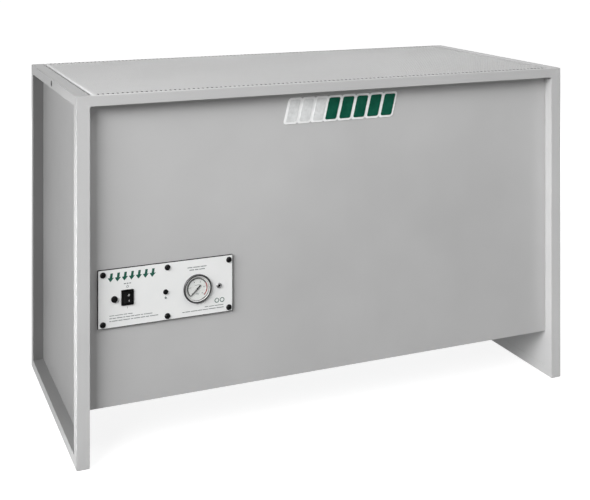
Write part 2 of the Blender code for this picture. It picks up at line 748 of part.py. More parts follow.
fan_plate()
bell_mouth()
impeller()
fan_motor()
motor_stand()

plate_screws((front_panel, plate_gasket(), control_plate()))
control_box()
switch()
fuse_carrier()
small_fittings()
gauge()
gauge_needle()
pressure_tube()
mains_inlet()
cables()
front_badge()

# shade every piece smooth, with sharp edges above 35 degrees
for piece in parts.objects:
    if piece.type == "MESH":
        piece.data.shade_smooth()
        piece.data.set_sharp_from_angle(angle=math.radians(35))
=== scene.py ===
"""Looks of the downdraught extraction bench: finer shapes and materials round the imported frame.

Every piece is built in the row frame, in metres: origin at floor level in the middle of the footprint, the
front faces -Y, +Z up. An object's own coordinates are therefore row coordinates, and the materials use them.
"""

import json
import math

import bmesh
import bpy
import numpy as np
from mathutils import Matrix, Vector, noise

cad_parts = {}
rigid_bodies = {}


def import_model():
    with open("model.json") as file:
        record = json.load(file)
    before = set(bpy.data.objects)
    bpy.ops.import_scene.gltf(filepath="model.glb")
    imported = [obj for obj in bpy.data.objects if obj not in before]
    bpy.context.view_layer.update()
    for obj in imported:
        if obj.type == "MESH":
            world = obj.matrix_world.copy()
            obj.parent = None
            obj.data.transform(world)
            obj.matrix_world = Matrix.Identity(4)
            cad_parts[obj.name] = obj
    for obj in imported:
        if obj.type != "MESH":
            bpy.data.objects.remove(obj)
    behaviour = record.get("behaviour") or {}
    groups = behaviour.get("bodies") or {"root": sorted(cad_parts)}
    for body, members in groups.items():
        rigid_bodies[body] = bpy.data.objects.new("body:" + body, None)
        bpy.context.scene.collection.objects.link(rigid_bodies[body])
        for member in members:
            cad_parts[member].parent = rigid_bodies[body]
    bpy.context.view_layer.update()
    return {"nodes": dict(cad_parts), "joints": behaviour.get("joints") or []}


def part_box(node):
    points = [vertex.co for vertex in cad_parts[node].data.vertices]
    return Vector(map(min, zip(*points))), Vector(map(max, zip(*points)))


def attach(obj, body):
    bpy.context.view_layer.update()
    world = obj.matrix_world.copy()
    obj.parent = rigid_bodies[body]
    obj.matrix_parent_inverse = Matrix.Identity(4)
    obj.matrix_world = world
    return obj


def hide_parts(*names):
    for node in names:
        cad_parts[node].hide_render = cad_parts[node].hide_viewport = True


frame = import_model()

scene = bpy.context.scene
col = scene.collection
NODES = frame["nodes"]


# ============================================================================================
# materials
# ============================================================================================
class Mat:
    """A Principled material with a few helpers for wiring nodes."""

    def __init__(self, name, colour=(0.8, 0.8, 0.8), rough=0.5, metal=0.0, **sockets):
        self.m = bpy.data.materials.new(name)
        self.m.use_nodes = True
        self.nt = self.m.node_tree
        self.p = self.nt.nodes["Principled BSDF"]
        self.p.inputs["Base Color"].default_value = (*colour, 1)
        self.p.inputs["Roughness"].default_value = rough
        self.p.inputs["Metallic"].default_value = metal
        for k, v in sockets.items():
            self.p.inputs[k.replace("_", " ")].default_value = v
        self.coord = self.node("ShaderNodeTexCoord").outputs["Object"]

    def node(self, kind, **props):
        n = self.nt.nodes.new(kind)
        for k, v in props.items():
            setattr(n, k, v)
        return n

    def put(self, socket, value):
        if isinstance(value, bpy.types.NodeSocket):
            self.nt.links.new(value, socket)
        else:
            socket.default_value = value

    def stretch(self, scale, rotation=(0, 0, 0), coord=None):
        n = self.node("ShaderNodeMapping")
        self.put(n.inputs["Vector"], coord or self.coord)
        n.inputs["Scale"].default_value = scale
        n.inputs["Rotation"].default_value = rotation
        return n.outputs["Vector"]

    def noise(self, scale, detail=2.0, rough=0.5, coord=None, distortion=0.0):
        n = self.node("ShaderNodeTexNoise")
        self.put(n.inputs["Vector"], coord or self.coord)
        n.inputs["Scale"].default_value = scale
        n.inputs["Detail"].default_value = detail
        n.inputs["Roughness"].default_value = rough
        n.inputs["Distortion"].default_value = distortion
        return n.outputs["Fac"]

    def voronoi(self, scale, coord=None, feature="F1", out="Distance", randomness=1.0):
        n = self.node("ShaderNodeTexVoronoi", feature=feature)
        self.put(n.inputs["Vector"], coord or self.coord)
        n.inputs["Scale"].default_value = scale
        n.inputs["Randomness"].default_value = randomness
        return n.outputs[out]

    def wave(self, scale, coord=None, direction="X", distortion=0.0, detail=0.0):
        n = self.node("ShaderNodeTexWave", bands_direction=direction)
        self.put(n.inputs["Vector"], coord or self.coord)
        n.inputs["Scale"].default_value = scale
        n.inputs["Distortion"].default_value = distortion
        n.inputs["Detail"].default_value = detail
        return n.outputs["Fac"]

    def ramp(self, fac, lo, hi, a=0.0, b=1.0):
        """fac's range lo..hi becomes a..b, clamped."""
        n = self.node("ShaderNodeMapRange")
        self.put(n.inputs["Value"], fac)
        for key, v in (("From Min", lo), ("From Max", hi), ("To Min", a), ("To Max", b)):
            n.inputs[key].default_value = v
        return n.outputs["Result"]

    def math(self, op, a, b=0.0):
        n = self.node("ShaderNodeMath", operation=op)
        self.put(n.inputs[0], a)
        self.put(n.inputs[1], b)
        return n.outputs[0]

    def mix(self, fac, a, b):
        """Colours a to b by fac."""
        n = self.node("ShaderNodeMix", data_type="RGBA")
        self.put(n.inputs["Factor"], fac)
        self.put(n.inputs["A"], a if isinstance(a, bpy.types.NodeSocket) else (*a, 1))
        self.put(n.inputs["B"], b if isinstance(b, bpy.types.NodeSocket) else (*b, 1))
        return n.outputs["Result"]

    def bump(self, height, strength, distance, normal=None):
        n = self.node("ShaderNodeBump")
        self.put(n.inputs["Height"], height)
        n.inputs["Strength"].default_value = strength
        n.inputs["Distance"].default_value = distance
        if normal is not None:
            self.put(n.inputs["Normal"], normal)
        return n.outputs["Normal"]

    def edge(self, radius=0.0012, lo=0.02, hi=0.22):
        """1 along convex and concave edges, 0 on the flats."""
        bev = self.node("ShaderNodeBevel", samples=4)
        bev.inputs["Radius"].default_value = radius
        geo = self.node("ShaderNodeNewGeometry")
        dot = self.node("ShaderNodeVectorMath", operation="DOT_PRODUCT")
        self.put(dot.inputs[0], bev.outputs["Normal"])
        self.put(dot.inputs[1], geo.outputs["Normal"])
        return self.ramp(self.math("SUBTRACT", 1.0, dot.outputs["Value"]), lo, hi)

    def set(self, **sockets):
        for k, v in sockets.items():
            self.put(self.p.inputs[k.replace("_", " ")], v)
        return self


def powder_coat(name, grey, rough=0.42, peel=0.10, tint=(1.0, 1.0, 1.0), streaks=True):
    """Satin powder coat: orange-peel skin, tiny specks, faint handling marks and slightly rubbed edges."""
    m = Mat(name, (grey,) * 3, rough, 0.0, Specular_IOR_Level=0.45)
    base = tuple(grey * t for t in tint)
    light = tuple(min(1.0, c * 1.045) for c in base)
    dark = tuple(c * 0.955 for c in base)
    cloud = m.noise(3.1, 3.0, 0.55)
    speck = m.noise(950.0, 2.0, 0.6)
    c = m.mix(m.ramp(cloud, 0.3, 0.7), dark, light)
    c = m.mix(m.math("MULTIPLY", m.ramp(speck, 0.62, 0.78), 0.16), c, tuple(x * 0.72 for x in base))
    rub = m.math("MULTIPLY", m.edge(), m.ramp(m.noise(38.0, 4.0, 0.7), 0.42, 0.66))
    c = m.mix(m.math("MULTIPLY", rub, 0.28), c, tuple(min(1.0, x * 1.32) for x in base))
    if streaks:
        smear = m.noise(9.0, 4.0, 0.6, m.stretch((1.0, 1.0, 0.12)))
        c = m.mix(m.math("MULTIPLY", m.ramp(smear, 0.56, 0.74), 0.05), c, tuple(x * 0.80 for x in base))
    peel_h = m.noise(620.0, 2.0, 0.5)
    grain = m.noise(2600.0, 1.0, 0.5)
    h = m.math("ADD", peel_h, m.math("MULTIPLY", grain, 0.25))
    r = m.math("ADD", m.ramp(m.noise(6.0, 5.0, 0.62), 0.3, 0.7, rough - 0.05, rough + 0.06), m.math("MULTIPLY", rub, -0.05))
    return m.set(Base_Color=c, Roughness=r, Normal=m.bump(h, peel, 0.0004)).m


def zinc(name="zinc_sheet"):
    """Zinc-coated sheet: soft spangle and rolling lines."""
    m = Mat(name, (0.6, 0.62, 0.64), 0.4, 0.85)
    cell = m.voronoi(70.0, out="Color")
    sep = m.node("ShaderNodeSeparateColor")
    m.put(sep.inputs[0], cell)
    f = sep.outputs[0]
    roll = m.noise(14.0, 4.0, 0.6, m.stretch((0.3, 22.0, 22.0)))
    c = m.mix(m.math("MULTIPLY", f, 0.5), (0.50, 0.52, 0.54), (0.68, 0.70, 0.72))
    c = m.mix(m.math("MULTIPLY", m.ramp(m.noise(5.0, 4.0), 0.55, 0.75), 0.3), c, (0.42, 0.42, 0.42))
    r = m.math("ADD", m.ramp(f, 0.0, 1.0, 0.32, 0.48), m.math("MULTIPLY", roll, 0.10))
    return m.set(Base_Color=c, Roughness=r, Normal=m.bump(roll, 0.05, 0.0002)).m


def steel(name, colour=(0.62, 0.62, 0.63), rough=0.22, lines=900.0, axis="Y"):
    """Polished or turned steel with fine tool lines and a few smudges."""
    m = Mat(name, colour, rough, 1.0)
    squash = {"X": (1.0, 0.02, 0.02), "Y": (0.02, 1.0, 0.02), "Z": (0.02, 0.02, 1.0)}[axis]
    fine = m.noise(lines, 3.0, 0.6, m.stretch(squash))
    smudge = m.noise(120.0, 4.0, 0.6)
    c = m.mix(m.ramp(smudge, 0.4, 0.75), colour, tuple(x * 0.86 for x in colour))
    r = m.math("ADD", m.ramp(smudge, 0.35, 0.7, rough - 0.06, rough + 0.08), m.math("MULTIPLY", fine, 0.05))
    return m.set(Base_Color=c, Roughness=r, Normal=m.bump(fine, 0.06, 0.00005)).m


def moulded(name, colour, rough=0.45, grain=0.10, scale=1800.0, metal=0.0, coat=0.0, dust_=0.10, **sockets):
    """Injection moulding: spark-eroded grain, slight tone and gloss drift, pale dust in the grain."""
    m = Mat(name, colour, rough, metal, **sockets)
    g = m.voronoi(scale)
    drift = m.noise(60.0, 3.0, 0.6)
    dust = m.noise(420.0, 4.0, 0.7)
    pale = tuple(min(1.0, c * 1.3 + 0.006) for c in colour)
    c = m.mix(m.ramp(drift, 0.3, 0.7), colour, pale)
    c = m.mix(m.math("MULTIPLY", m.ramp(dust, 0.6, 0.8), dust_), c, (0.35, 0.35, 0.34))
    r = m.ramp(drift, 0.3, 0.7, rough - 0.06, rough + 0.08)
    m.set(Base_Color=c, Roughness=r, Normal=m.bump(g, grain, 0.0001))
    if coat:
        m.set(Coat_Weight=coat, Coat_Roughness=0.12)
    return m.m


def rubber(name, colour=(0.018, 0.018, 0.019)):
    m = Mat(name, colour, 0.75)
    bloom = m.noise(90.0, 5.0, 0.65)
    c = m.mix(m.ramp(bloom, 0.45, 0.75), colour, (0.05, 0.05, 0.05))
    return m.set(Base_Color=c, Roughness=m.ramp(bloom, 0.3, 0.7, 0.62, 0.86), Normal=m.bump(m.noise(1500.0, 2.0), 0.15, 0.0002)).m


def printed(name, colour, rough=0.5):
    """Screen-printed ink: slightly uneven cover."""
    m = Mat(name, colour, rough)
    n = m.noise(1400.0, 3.0, 0.7)
    c = m.mix(m.ramp(n, 0.5, 0.85), colour, tuple(min(1.0, x + 0.05) for x in colour))
    return m.set(Base_Color=c, Roughness=m.ramp(n, 0.3, 0.7, rough - 0.05, rough + 0.08), Normal=m.bump(n, 0.05, 0.00003)).m


def plate_paint(name="plate_white"):
    """Satin off-white panel face."""
    m = Mat(name, (0.86, 0.87, 0.86), 0.38, Specular_IOR_Level=0.5)
    wash = m.noise(14.0, 4.0, 0.6)
    fine = m.noise(1600.0, 2.0, 0.6)
    c = m.mix(m.ramp(wash, 0.3, 0.7), (0.865, 0.875, 0.87), (0.905, 0.91, 0.905))
    c = m.mix(m.math("MULTIPLY", m.edge(0.0006), 0.25), c, (0.62, 0.62, 0.61))
    return m.set(Base_Color=c, Roughness=m.ramp(wash, 0.3, 0.7, 0.33, 0.44), Normal=m.bump(fine, 0.04, 0.0001)).m


def glass(name="clear_glass"):
    m = Mat(name, (1, 1, 1), 0.03, 0.0, IOR=1.46)
    wipe = m.noise(160.0, 4.0, 0.7)
    m.set(Roughness=m.ramp(wipe, 0.4, 0.8, 0.015, 0.06))
    out = next(n for n in m.nt.nodes if n.type == "OUTPUT_MATERIAL")
    clear = m.node("ShaderNodeBsdfTransparent")
    clear.inputs["Color"].default_value = (0.995, 1.0, 0.998, 1)
    gloss = m.node("ShaderNodeBsdfGlossy")
    gloss.inputs["Roughness"].default_value = 0.04
    fres = m.node("ShaderNodeFresnel")
    fres.inputs["IOR"].default_value = 1.40
    mix = m.node("ShaderNodeMixShader")
    front = m.node("ShaderNodeNewGeometry")
    shine = m.math("MULTIPLY", fres.outputs[0], m.math("SUBTRACT", 1.0, front.outputs["Backfacing"]))
    m.nt.links.new(shine, mix.inputs[0])
    m.nt.links.new(clear.outputs[0], mix.inputs[1])
    m.nt.links.new(gloss.outputs[0], mix.inputs[2])
    m.nt.links.new(mix.outputs[0], out.inputs["Surface"])
    return m.m


def fleece(name="filter_fleece"):
    """Needled polyester: tangled fibres, needle pits, slightly grey where dust has settled."""
    m = Mat(name, (0.82, 0.84, 0.82), 0.95, Specular_IOR_Level=0.15)
    m.set(Sheen_Weight=0.5, Sheen_Roughness=0.5)
    f1 = m.noise(420.0, 5.0, 0.72, m.stretch((1.0, 0.35, 1.0)), 1.6)
    f2 = m.noise(520.0, 5.0, 0.72, m.stretch((0.35, 1.0, 1.0)), 1.4)
    fibre = m.math("MAXIMUM", m.ramp(f1, 0.48, 0.62), m.ramp(f2, 0.48, 0.62))
    pits = m.voronoi(190.0)
    dust = m.noise(7.0, 5.0, 0.62)
    c = m.mix(fibre, (0.66, 0.68, 0.66), (0.86, 0.88, 0.86))
    c = m.mix(m.math("MULTIPLY", m.ramp(dust, 0.45, 0.75), 0.22), c, (0.52, 0.53, 0.52))
    h = m.math("ADD", fibre, m.math("MULTIPLY", pits, 0.8))
    return m.set(Base_Color=c, Normal=m.bump(h, 0.55, 0.0012)).m


def paper(name="pleated_media"):
    m = Mat(name, (0.76, 0.76, 0.71), 0.92, Specular_IOR_Level=0.2)
    f = m.noise(520.0, 5.0, 0.7, None, 1.2)
    line = m.noise(30.0, 3.0, 0.6, m.stretch((4.0, 0.3, 4.0)))
    c = m.mix(f, (0.66, 0.655, 0.60), (0.83, 0.83, 0.79))
    c = m.mix(m.math("MULTIPLY", m.ramp(line, 0.45, 0.7), 0.25), c, (0.58, 0.57, 0.53))
    return m.set(Base_Color=c, Normal=m.bump(f, 0.35, 0.0005)).m


def board(name="filter_frame_board"):
    """Fibreboard: pressed fibres, darker sawn edges."""
    m = Mat(name, (0.50, 0.38, 0.24), 0.82, Specular_IOR_Level=0.25)
    f = m.noise(210.0, 6.0, 0.75, None, 0.8)
    chips = m.voronoi(420.0)
    c = m.mix(f, (0.36, 0.26, 0.155), (0.60, 0.47, 0.31))
    c = m.mix(m.math("MULTIPLY", m.edge(0.0015), 0.35), c, (0.24, 0.17, 0.10))
    return m.set(Base_Color=c, Roughness=m.ramp(f, 0.3, 0.7, 0.72, 0.92), Normal=m.bump(m.math("ADD", f, chips), 0.25, 0.0004)).m


COAT = powder_coat("powder_coat", 0.52, 0.36)
PANEL = powder_coat("powder_coat_panel", 0.52, 0.36, 0.085)
# the end panels' coat is a shade darker than the front panels': painted shade on the sides
PANEL_END_SHADED = powder_coat("powder_coat_end_shaded", 0.51, 0.36, 0.085)
TOP = powder_coat("worktop_coat", 0.47, 0.46, 0.05, streaks=False)
ZINC = zinc()
STEEL = steel("bright_steel", (0.20, 0.20, 0.205), 0.38)
BEZEL = steel("bezel_steel", (0.105, 0.105, 0.108), 0.42)
CHROME = steel("chrome_fitting", (0.66, 0.66, 0.67), 0.12)
SATIN = steel("satin_nickel", (0.40, 0.40, 0.405), 0.40)
ALLOY = steel("impeller_alloy", (0.66, 0.67, 0.68), 0.34, 500.0, "Z")
PLATE = plate_paint()
DIAL = printed("dial_white", (0.90, 0.90, 0.885), 0.45)
BLACK = moulded("moulded_black", (0.0022, 0.0022, 0.0024), 0.50, 0.10, dust_=0.006, Specular_IOR_Level=0.12)
SCREW = moulded("screw_black", (0.0022, 0.0022, 0.0024), 0.36, 0.05, 2600.0, dust_=0.004, Specular_IOR_Level=0.14)
# near-black, barely glossy: painted shade on the worktop's slot walls, and round the control plate its black edge with
# painted shade in the gap
BLACK_AND_SHADE = moulded("black_and_painted_shade", (0.0015, 0.0015, 0.0016), 0.70, 0.10, dust_=0.0, Specular_IOR_Level=0.05)
# near-black metal for the threaded inserts: painted shade for their holes in the rails
BUSH_SHADE = steel("bush_black_shade", (0.035, 0.035, 0.036), 0.55)
INK = printed("ink_black", (0.02, 0.02, 0.02))
DIAL_INK = printed("ink_dial", (0.006, 0.006, 0.006))
GREY_INK = printed("ink_grey", (0.20, 0.22, 0.22))
GREEN_INK = printed("ink_green", (0.001, 0.088, 0.055), 0.55)
WHITE_INK = printed("ink_white", (0.80, 0.80, 0.80), 0.42)
RED_INK = printed("ink_red", (0.40, 0.022, 0.030), 0.45)
BADGE_GREEN = moulded("badge_green", (0.0006, 0.074, 0.043), 0.42, 0.03, 2200.0, dust_=0.0, Specular_IOR_Level=0.10)
BADGE_WHITE = moulded("badge_white", (0.84, 0.85, 0.85), 0.34, 0.03, 2200.0, coat=0.3)
BADGE_PALE = moulded("badge_pale", (0.62, 0.63, 0.63), 0.36, 0.03, 2200.0, coat=0.2)
RUBBER = rubber("black_rubber")
CABLE = rubber("cable_black", (0.02, 0.02, 0.021))
GLASS = glass()
FLEECE = fleece()
PAPER = paper()
BOARD = board()
MOTOR = moulded("motor_paint", (0.045, 0.052, 0.06), 0.42, 0.12, 900.0)
LAMP = moulded("lamp_lens", (0.12, 0.14, 0.135), 0.25, 0.02, 3000.0, coat=0.5)
TUBE = moulded("clear_tube", (0.62, 0.68, 0.70), 0.22, 0.02, 2000.0, coat=0.4)
GLUE = moulded("glue_white", (0.80, 0.80, 0.77), 0.35, 0.02, 1500.0)


# ============================================================================================
# shape tools
# ============================================================================================
def shade_group():
    """A modifier that shades smooth and keeps edges over 35 degrees sharp."""
    g = bpy.data.node_groups.new("smooth_by_angle", "GeometryNodeTree")
    g.interface.new_socket("Geometry", in_out="INPUT", socket_type="NodeSocketGeometry")
    g.interface.new_socket("Geometry", in_out="OUTPUT", socket_type="NodeSocketGeometry")
    i, o = g.nodes.new("NodeGroupInput"), g.nodes.new("NodeGroupOutput")
    faces = g.nodes.new("GeometryNodeSetShadeSmooth")
    faces.domain = "FACE"
    edges = g.nodes.new("GeometryNodeSetShadeSmooth")
    edges.domain = "EDGE"
    edges.inputs["Shade Smooth"].default_value = False
    angle = g.nodes.new("GeometryNodeInputMeshEdgeAngle")
    over = g.nodes.new("FunctionNodeCompare")
    over.data_type = "FLOAT"
    over.operation = "GREATER_THAN"
    over.inputs[1].default_value = math.radians(35)
    g.links.new(i.outputs[0], faces.inputs["Geometry"])
    g.links.new(faces.outputs[0], edges.inputs["Geometry"])
    g.links.new(angle.outputs[0], over.inputs[0])
    g.links.new(over.outputs[0], edges.inputs["Selection"])
    g.links.new(edges.outputs[0], o.inputs[0])
    return g


SMOOTH = shade_group()


def soften(ob, width=0.0005, segments=2, weld=False):
    """Rounds an object's hard edges and shades it."""
    if weld:
        w = ob.modifiers.new("weld", "WELD")
        w.merge_threshold = 0.000002
    if width:
        b = ob.modifiers.new("round", "BEVEL")
        b.width = width
        b.segments = segments
        b.limit_method = "ANGLE"
        b.angle_limit = math.radians(38)
        b.use_clamp_overlap = True
    s = ob.modifiers.new("shade", "NODES")
    s.node_group = SMOOTH
    n = ob.modifiers.new("flats", "WEIGHTED_NORMAL")
    n.mode = "FACE_AREA"
    n.weight = 100
    n.keep_sharp = True
    return ob


def dress(names, mat, width=0.0005, segments=2):
    """Gives CAD nodes their material and rounds their edges."""
    for n in names.split():
        o = NODES[n]
        for s in o.material_slots:
            s.material = mat
        if not o.material_slots:
            o.data.materials.append(mat)
        soften(o, width, segments, weld=True)


def piece(name, verts, faces, mat, body, replaces=(), smooth=True, width=0.0, segments=2):
    me = bpy.data.meshes.new(name)
    me.from_pydata([tuple(v) for v in verts], [], faces)
    me.validate()
    bm = bmesh.new()
    bm.from_mesh(me)
    bmesh.ops.recalc_face_normals(bm, faces=bm.faces)
    if bm.calc_volume(signed=True) < 0:
        bmesh.ops.reverse_faces(bm, faces=bm.faces)
    bm.to_mesh(me)
    bm.free()
    return place(name, me, mat, body, replaces, smooth, width, segments)


def place(name, me, mat, body, replaces=(), smooth=True, width=0.0, segments=2):
    ob = bpy.data.objects.new(name, me)
    me.materials.clear()
    me.materials.append(mat)
    col.objects.link(ob)
    if smooth or width:
        soften(ob, width, segments)
    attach(ob, body)
    if replaces:
        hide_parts(*replaces)
    return ob


def to_front(x, z, y):
    """Local +Z becomes -Y: a turned piece on the front face, at height z, its own zero at y."""
    return Matrix.Translation((x, y, z)) @ Matrix.Rotation(math.radians(90), 4, "X")


def revolve(name, rings, mat, body, matrix=Matrix.Identity(4), segs=64, replaces=(), shape=None, width=0.0):
    """A closed turned shape. rings are (radius, height) from the top centre down the outside to the bottom centre,
    or a closed loop if the first radius isn't 0. shape[i](angle) scales ring i's radius, for a hexagon or a knurl."""
    closed = rings[0][0] > 1e-7
    verts, faces, rows = [], [], []
    for i, (r, h) in enumerate(rings):
        if r <= 1e-7:
            rows.append([len(verts)])
            verts.append((0, 0, h))
            continue
        f = (shape or {}).get(i, lambda a: 1.0)
        row = []
        for k in range(segs):
            a = math.tau * k / segs
            row.append(len(verts))
            verts.append((r * f(a) * math.cos(a), r * f(a) * math.sin(a), h))
        rows.append(row)
    pairs = list(zip(rows, rows[1:])) + ([(rows[-1], rows[0])] if closed else [])
    for a, b in pairs:
        for k in range(segs):
            j = (k + 1) % segs
            if len(a) == 1 and len(b) == 1:
                continue
            if len(a) == 1:
                faces.append((a[0], b[k], b[j]))
            elif len(b) == 1:
                faces.append((a[k], b[0], a[j]))
            else:
                faces.append((a[k], b[k], b[j], a[j]))
    verts = [matrix @ Vector(v) for v in verts]
    return piece(name, verts, faces, mat, body, replaces, width=width)


def hexagon(a):
    """Radius of a hexagon over its apothem."""
    return 1 / math.cos((a + math.pi / 6) % (math.pi / 3) - math.pi / 6)


def slab(name, outline, y0, y1, mat, body, replaces=(), width=0.0, segments=2):
    """A flat shape on the front: outline of (x, z), between two depths y0 (front) and y1."""
    n = len(outline)
    verts = [(x, y0, z) for x, z in outline] + [(x, y1, z) for x, z in outline]
    faces = [tuple(range(n)), tuple(range(2 * n - 1, n - 1, -1))] + [(i, (i + 1) % n, n + (i + 1) % n, n + i) for i in range(n)]
    return piece(name, verts, faces, mat, body, replaces, width=width, segments=segments)


def slabs(name, outlines, y0, y1, mat, body):
    """Several flat shapes as one printed piece."""
    verts, faces = [], []
    for outline in outlines:
        b, n = len(verts), len(outline)
        verts += [(x, y0, z) for x, z in outline] + [(x, y1, z) for x, z in outline]
        faces += [tuple(b + i for i in range(n)), tuple(b + i for i in range(2 * n - 1, n - 1, -1))]
        faces += [(b + i, b + (i + 1) % n, b + n + (i + 1) % n, b + n + i) for i in range(n)]
    return piece(name, verts, faces, mat, body, smooth=False)


def ring_sector(cx, cz, r0, r1, a0, a1, n=48):
    """Outline of part of a ring; angles clockwise from straight up, in degrees."""
    def at(r, a):
        a = math.radians(a)
        return (cx + r * math.sin(a), cz + r * math.cos(a))
    steps = [a0 + (a1 - a0) * i / n for i in range(n + 1)]
    return [at(r1, a) for a in steps] + [at(r0, a) for a in reversed(steps)]


def rounded(x0, z0, x1, z1, r, n=6):
    out = []
    for cx, cz, a0 in ((x1 - r, z1 - r, 0), (x0 + r, z1 - r, 90), (x0 + r, z0 + r, 180), (x1 - r, z0 + r, 270)):
        for i in range(n + 1):
            a = math.radians(a0 + 90 * i / n)
            out.append((cx + r * math.cos(a), cz + r * math.sin(a)))
    return out


def joined(name, blocks, mat, body, replaces=(), width=0.0, segments=2, smooth=True):
    """Several closed shapes in one piece. blocks are (verts, faces)."""
    verts, faces = [], []
    for v, f in blocks:
        b = len(verts)
        verts += [tuple(p) for p in v]
        faces += [tuple(b + i for i in q) for q in f]
    return piece(name, verts, faces, mat, body, replaces, smooth, width, segments)


def block(lo, hi, matrix=None):
    (x0, y0, z0), (x1, y1, z1) = lo, hi
    v = [Vector(p) for p in ((x0, y0, z0), (x1, y0, z0), (x1, y1, z0), (x0, y1, z0), (x0, y0, z1), (x1, y0, z1), (x1, y1, z1), (x0, y1, z1))]
    if matrix:
        v = [matrix @ p for p in v]
    return v, [(0, 3, 2, 1), (4, 5, 6, 7), (0, 1, 5, 4), (1, 2, 6, 5), (2, 3, 7, 6), (3, 0, 4, 7)]


def tube(name, points, r, mat, body, replaces=(), sides=16, cap=True):
    """A round tube along a smooth path through points (Catmull-Rom), with flat ends."""
    p = [Vector(q) for q in points]
    path = []
    for i in range(len(p) - 1):
        a, b, c, d = p[max(0, i - 1)], p[i], p[i + 1], p[min(len(p) - 1, i + 2)]
        for k in range(8):
            t = k / 8
            path.append(0.5 * ((2 * b) + (c - a) * t + (2 * a - 5 * b + 4 * c - d) * t * t + (3 * b - a - 3 * c + d) * t ** 3))
    path.append(p[-1])
    verts, faces = [], []
    up = Vector((0.3, 0.2, 1)).normalized()
    for i, q in enumerate(path):
        t = (path[min(i + 1, len(path) - 1)] - path[max(i - 1, 0)]).normalized()
        u = (up - t * up.dot(t)).normalized()
        up = u
        w = t.cross(u)
        for k in range(sides):
            a = math.tau * k / sides
            verts.append(q + u * r * math.cos(a) + w * r * math.sin(a))
    for i in range(len(path) - 1):
        for k in range(sides):
            j = (k + 1) % sides
            faces.append((i * sides + k, i * sides + j, (i + 1) * sides + j, (i + 1) * sides + k))
    faces += [tuple(reversed(range(sides))), tuple((len(path) - 1) * sides + k for k in range(sides))]
    return piece(name, verts, faces, mat, body, replaces)


def numeral(name, text, x, z, size, y, mat, body, turn=0.0):
    """A printed number on a dial, centred on x, z."""
    cu = bpy.data.curves.new(name, "FONT")
    cu.body = text
    cu.size = size
    cu.align_x, cu.align_y = "CENTER", "CENTER"
    cu.extrude = 0.00004
    cu.resolution_u = 3
    tmp = bpy.data.objects.new(name + "_src", cu)
    col.objects.link(tmp)
    bpy.context.view_layer.update()
    me = bpy.data.meshes.new_from_object(tmp.evaluated_get(bpy.context.evaluated_depsgraph_get()))
    bpy.data.objects.remove(tmp, do_unlink=True)
    me.name = name
    me.transform(to_front(x, z, y) @ Matrix.Rotation(math.radians(turn), 4, "Z"))
    bm = bmesh.new()
    bm.from_mesh(me)
    bmesh.ops.remove_doubles(bm, verts=bm.verts, dist=1e-7)
    bm.to_mesh(me)
    bm.free()
    return place(name, me, mat, body, smooth=False)


# ============================================================================================
# cabinet sheet metal
# ============================================================================================
dress("left_end_frame right_end_frame", COAT, 0.0007, 2)
dress("front_rail rear_rail left_ledge right_ledge worktop_rib", COAT, 0.0005, 2)
dress("front_panel rear_panel", PANEL, 0.0004, 2)
dress("left_end_panel right_end_panel", PANEL_END_SHADED, 0.0004, 2)
dress("exhaust_grille", COAT, 0.0005, 2)
dress("base_pan filter_deck fan_plate control_box motor_stand", ZINC, 0.0004, 1)
dress("left_filter_frame right_filter_frame", BOARD, 0.0008, 2)
dress("filter_gasket plate_gasket", RUBBER, 0.0002, 1)
dress("control_plate", PLATE, 0.0004, 2)
dress("mains_inlet", BLACK, 0.0005, 2)
dress("fan_impeller", ALLOY, 0.0, 1)
dress("fan_shaft", STEEL, 0.0, 1)

# the rails are welded to the end frames and ground flush: a narrow strip of weld closes each joint
for label, sx_ in (("left", -1), ("right", 1)):
    for face, sy_ in (("front", -1), ("rear", 1)):
        a, b = sorted((sx_ * 0.6182, sx_ * 0.6218))
        c, d = sorted((sy_ * 0.33501, sy_ * 0.3318))
        joined("weld_%s_%s" % (face, label), [block((a, c, 0.8153), (b, d, 0.84001))], COAT, "cabinet", width=0.0003)
        # a small fillet of weld in the corner below the rail
        r, x_in, y_out = 0.0060, sx_ * 0.6199, sy_ * 0.3343
        arc_ = [(x_in, 0.8152), (x_in - sx_ * r, 0.8152)] + [(x_in - sx_ * r * (1 - math.sin(math.pi / 2 * t / 6)), 0.8152 - r * (1 - math.cos(math.pi / 2 * t / 6))) for t in range(1, 6)] + [(x_in, 0.8152 - r)]
        slab("fillet_%s_%s" % (face, label), arc_, y_out, sy_ * 0.3060, COAT, "cabinet")

# ============================================================================================
# worktop: folded tray and perforated field
# ============================================================================================
(wx0, wy0, wz0), (wx1, wy1, wz1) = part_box("worktop")
MARGIN_X, MARGIN_Y, SHEET, FOLD = 0.0066, 0.0033, 0.0020, 0.0026


